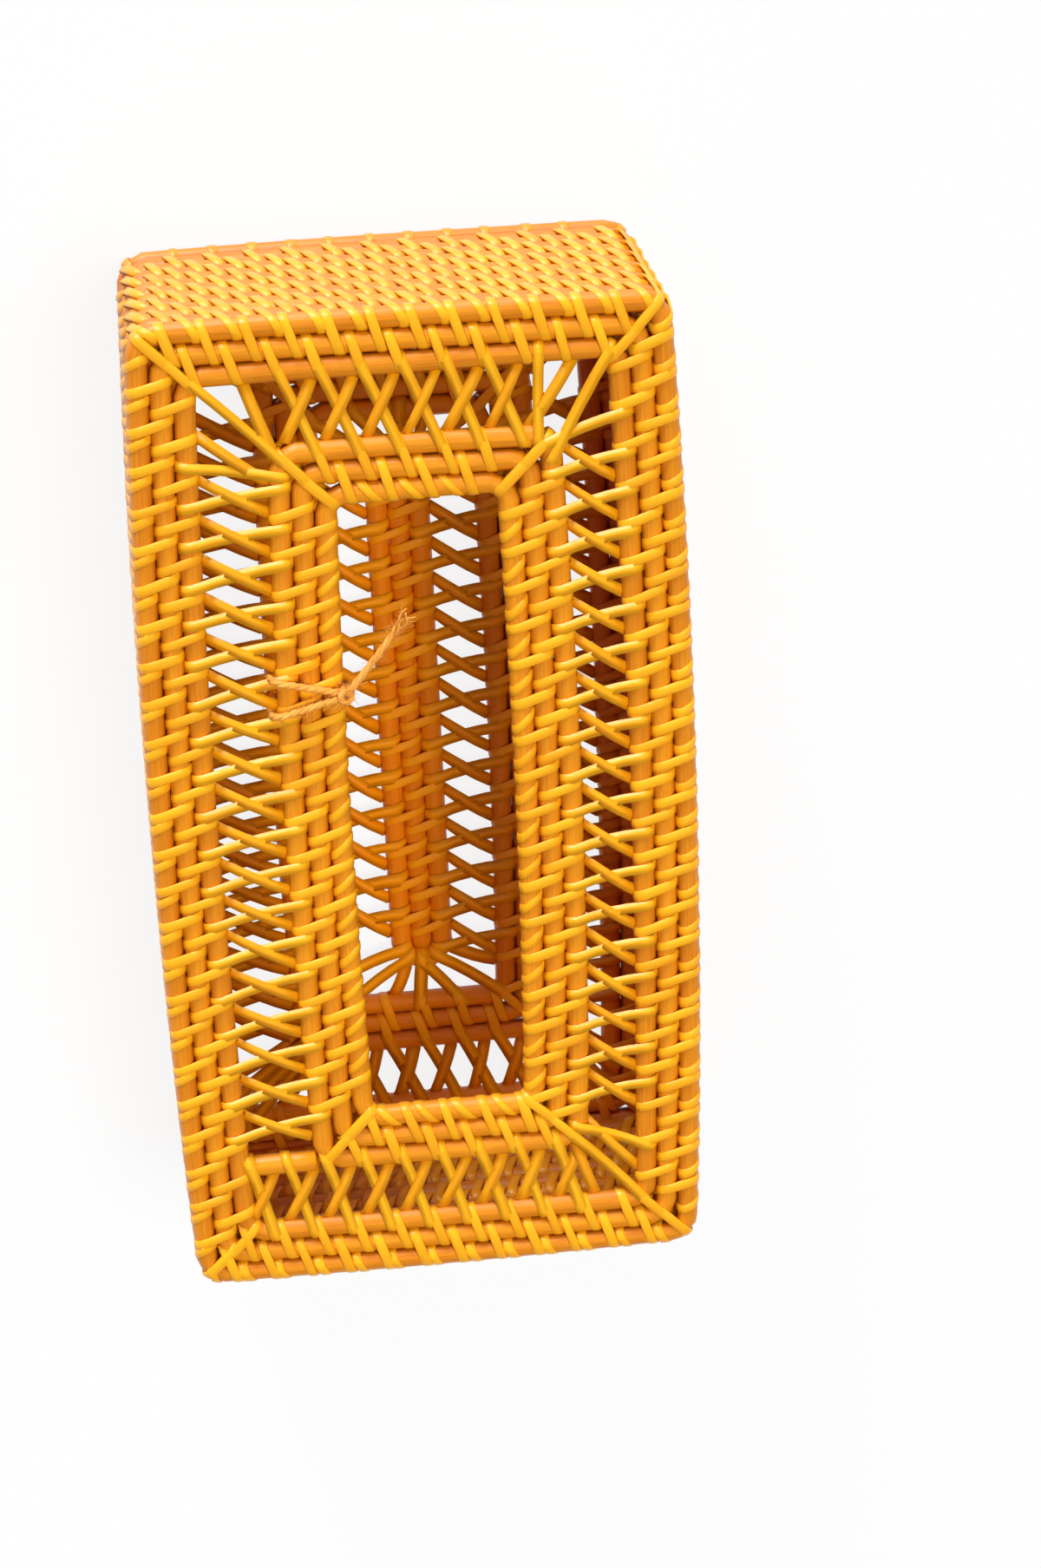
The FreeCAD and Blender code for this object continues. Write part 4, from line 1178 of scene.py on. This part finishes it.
class CANE_OT_twine(Operator):
    """Tie the twine round the slot frame's left stile, with its knot and its frayed end"""

    bl_idname = "cane.twine"
    bl_label = "Twine"

    def execute(self, context):
        rng = np.random.default_rng(seed_of("twine"))
        low, high = (np.array(corner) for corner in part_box("twine_tie"))
        knot = np.array((high[0], (low[1] + high[1]) / 2, high[2])) - KNOT_INSET
        tail_start = np.array(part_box("twine_tail")[0]) + TAIL_INSET
        self.tie(knot, rng)
        self.tail(tail_start, rng)
        return {"FINISHED"}

    def tie(self, knot, rng):
        """The two passes over the stile, each a loop of two half circles and straight runs that slants along
        it, and the knot, a coil wound to a ball."""
        inner, outer = (node_middle(node)[0] - hoop_of(node).half_width
                        for node in ("slot_edge_rod", "slot_frame_outer_rod"))
        radius = ROD_RADIUS + sizes().strand_thickness + sizes().twine_diameter * TIE_STANDOFF
        turn = np.linspace(0, FULL_TURN, TIE_POINTS)
        across = np.where(np.cos(turn) > 0, inner, outer) + radius * np.cos(turn)
        above = node_middle("slot_edge_rod")[2] + radius * np.sin(turn)
        share = (inner + radius - across) / (inner - outer + 2 * radius)
        share = np.where(np.sin(turn) > TIE_UNDERSIDE, share, share * TIE_UNDER_SHARE)
        bundle = Strands(rng)
        for slant, lift in TIE_PASSES:
            along = knot[1] + slant * share
            path, length = even_path(np.stack((across, along, above + lift), axis=-1), TIE.steps)
            twist_yarns(bundle, path, length, TIE)
        turn = np.linspace(0, KNOT_TURN, KNOT_POINTS)
        ball = np.stack((np.cos(turn), np.sin(turn), np.sin(turn * 0.5)), axis=-1) * KNOT_RADII
        path, length = even_path(knot + ball, KNOT.steps)
        twist_yarns(bundle, path, length, KNOT)
        bundle.to_object("twine_tied", "twine", COVER, "twine_tie")

    def tail(self, start, rng):
        """The free end: twisted yarns along its route, which part into a fray past FRAY_START of its length."""
        path, length = smooth_route(start + TAIL_ROUTE, TAIL.steps)
        share = np.linspace(0, 1, TAIL.steps)
        fray = np.clip((share - FRAY_START) / (1 - FRAY_START), 0, 1)
        spread = 1 + FRAY_SPREAD * fray**FRAY_BEND
        taper = 1 - TAIL_THINNING * share - FRAY_THINNING * fray
        bundle = Strands(rng)
        twist_yarns(bundle, path, length, TAIL, spread, taper)
        loose_fibres(bundle, path[FRAY_STEP:], *FRAY_FIBRES)
        bundle.to_object("twine_free_end", "twine", COVER, "twine_tail")


# Stage: half the floor's width in metres, how white the camera sees it, the suns' widths in degrees and where
# they shine from, the share of the sky that shows as glare, and the height of the camera's frame in millimetres
FLOOR_HALF = 3.0
FLOOR_GLOW = 0.86
SUN_WIDTH = 30
KEY_DIRECTION = (0.22, 0.10, 0.97)
LOW_DIRECTION = (-0.25, 0.95, 0.18)
SKY_GLARE = 0.3
FRAME_HEIGHT = 36.0


def floor_material():
    """A pale floor that looks white to the camera and still shows the shadow."""
    material = bpy.data.materials.new("floor")
    tree, shader = nodes_of(material)
    shader.inputs["Base Color"].default_value = (*colours().floor, 1.0)
    shader.inputs["Roughness"].default_value = 0.9
    shader.inputs["Specular IOR Level"].default_value = 0.1
    glow = linked(tree, "ShaderNodeEmission", (("Color", (1.0, 1.0, 1.0, 1.0)), ("Strength", 1.0)))
    ray = linked(tree, "ShaderNodeLightPath").outputs
    either = worked(tree, "MAXIMUM", ray["Is Camera Ray"], ray["Is Glossy Ray"])
    seen = worked(tree, "MULTIPLY", either, FLOOR_GLOW)
    surface = linked(tree, "ShaderNodeMixShader", ((0, seen), (1, shader.outputs[0]), (2, glow.outputs[0])))
    tree.links.new(surface.outputs[0], tree.nodes["Material Output"].inputs["Surface"])
    return material


class CANE_OT_stage(Operator):
    """Lay the floor, set the light and stand the camera where the picture was taken"""

    bl_idname = "cane.stage"
    bl_label = "Stage"

    def execute(self, context):
        self.floor()
        self.light(context)
        self.camera(context)
        return {"FINISHED"}

    def floor(self):
        """A wide level floor."""
        corners = np.array(((-1, -1, 0), (1, -1, 0), (1, 1, 0), (-1, 1, 0))) * FLOOR_HALF
        mesh = bpy.data.meshes.new("floor")
        mesh.from_pydata(corners, (), ((0, 1, 2, 3),))
        mesh.materials.append(floor_material())
        floor = bpy.data.objects.new("floor", mesh)
        bpy.context.scene.collection.objects.link(floor)

    def light(self, context):
        """A soft key light from above, a low light on the far end and an even white sky."""
        stage = context.scene.cane_stage
        self.sun(context, "key_light", stage.key_strength, KEY_DIRECTION, False)
        self.sun(context, "low_light", stage.low_strength, LOW_DIRECTION, True)
        world = bpy.data.worlds.new("sky")
        context.scene.world = world
        world.use_nodes = True
        tree = world.node_tree
        background = tree.nodes["Background"]
        background.inputs["Color"].default_value = (1.0, 1.0, 1.0, 1.0)
        ray = linked(tree, "ShaderNodeLightPath").outputs
        seen = ranged(tree, ray["Is Camera Ray"], stage.sky_strength, 1.0)
        dimmed = ranged(tree, ray["Is Glossy Ray"], 1.0, SKY_GLARE)
        tree.links.new(worked(tree, "MULTIPLY", seen, dimmed), background.inputs["Strength"])
        context.scene.view_settings.view_transform = "Standard"

    def sun(self, context, name, strength, direction, glare):
        """A soft sun that shines from a direction, with or without glare on what it lights."""
        data = bpy.data.lights.new(name, "SUN")
        data.energy = strength
        data.angle = math.radians(SUN_WIDTH)
        lamp = bpy.data.objects.new(name, data)
        lamp.visible_glossy = glare
        lamp.rotation_euler = Vector(direction).to_track_quat("Z", "Y").to_euler()
        context.scene.collection.objects.link(lamp)

    def camera(self, context):
        """The camera, with the picture's tall frame across its full height."""
        stage = context.scene.cane_stage
        right = Vector(stage.camera_right).normalized()
        back = -Vector(stage.camera_forward).normalized()
        up = back.cross(right).normalized()
        right = up.cross(back)
        data = bpy.data.cameras.new("camera")
        data.sensor_fit = "VERTICAL"
        data.sensor_height = FRAME_HEIGHT
        data.lens = stage.lens
        data.clip_start = 0.01
        camera = bpy.data.objects.new("camera", data)
        turn = Matrix((right, up, back)).transposed().to_4x4()
        camera.matrix_world = Matrix.Translation(stage.camera_place) @ turn
        context.scene.collection.objects.link(camera)
        context.scene.camera = camera


OPERATORS = (CANE_OT_stage, CANE_OT_rods, CANE_OT_wall_lacing, CANE_OT_top_lacing, CANE_OT_base_lacing,
             CANE_OT_hinge_loops, CANE_OT_twine)


class CANE_PT_panel(Panel):
    """The cover's pieces, in the order in which they are made"""

    bl_idname = "CANE_PT_panel"
    bl_label = "Cane tissue box cover"
    bl_space_type = "VIEW_3D"
    bl_region_type = "UI"
    bl_category = "Cane"

    def draw(self, context):
        for group in (context.scene.cane_sizes, context.scene.cane_colours, context.scene.cane_stage):
            box = self.layout.box()
            for name in group.__annotations__:
                box.prop(group, name)
        for operator in OPERATORS:
            self.layout.operator(operator.bl_idname)


GROUPS = {"cane_sizes": CaneSizes, "cane_colours": CaneColours, "cane_stage": CaneStage}
CLASSES = tuple(GROUPS.values()) + OPERATORS + (CANE_PT_panel,)


def register():
    """Register the classes and hang the settings on the scene."""
    for cls in CLASSES:
        bpy.utils.register_class(cls)
    for name, group in GROUPS.items():
        setattr(bpy.types.Scene, name, PointerProperty(type=group))


def unregister():
    """Take the settings and the classes away again."""
    for name in GROUPS:
        delattr(bpy.types.Scene, name)
    for cls in reversed(CLASSES):
        bpy.utils.unregister_class(cls)


def main():
    """Make every piece."""
    register()
    for operator in OPERATORS:
        group, name = operator.bl_idname.split(".")
        getattr(getattr(bpy.ops, group), name)()


if __name__ == "__main__":
    main()
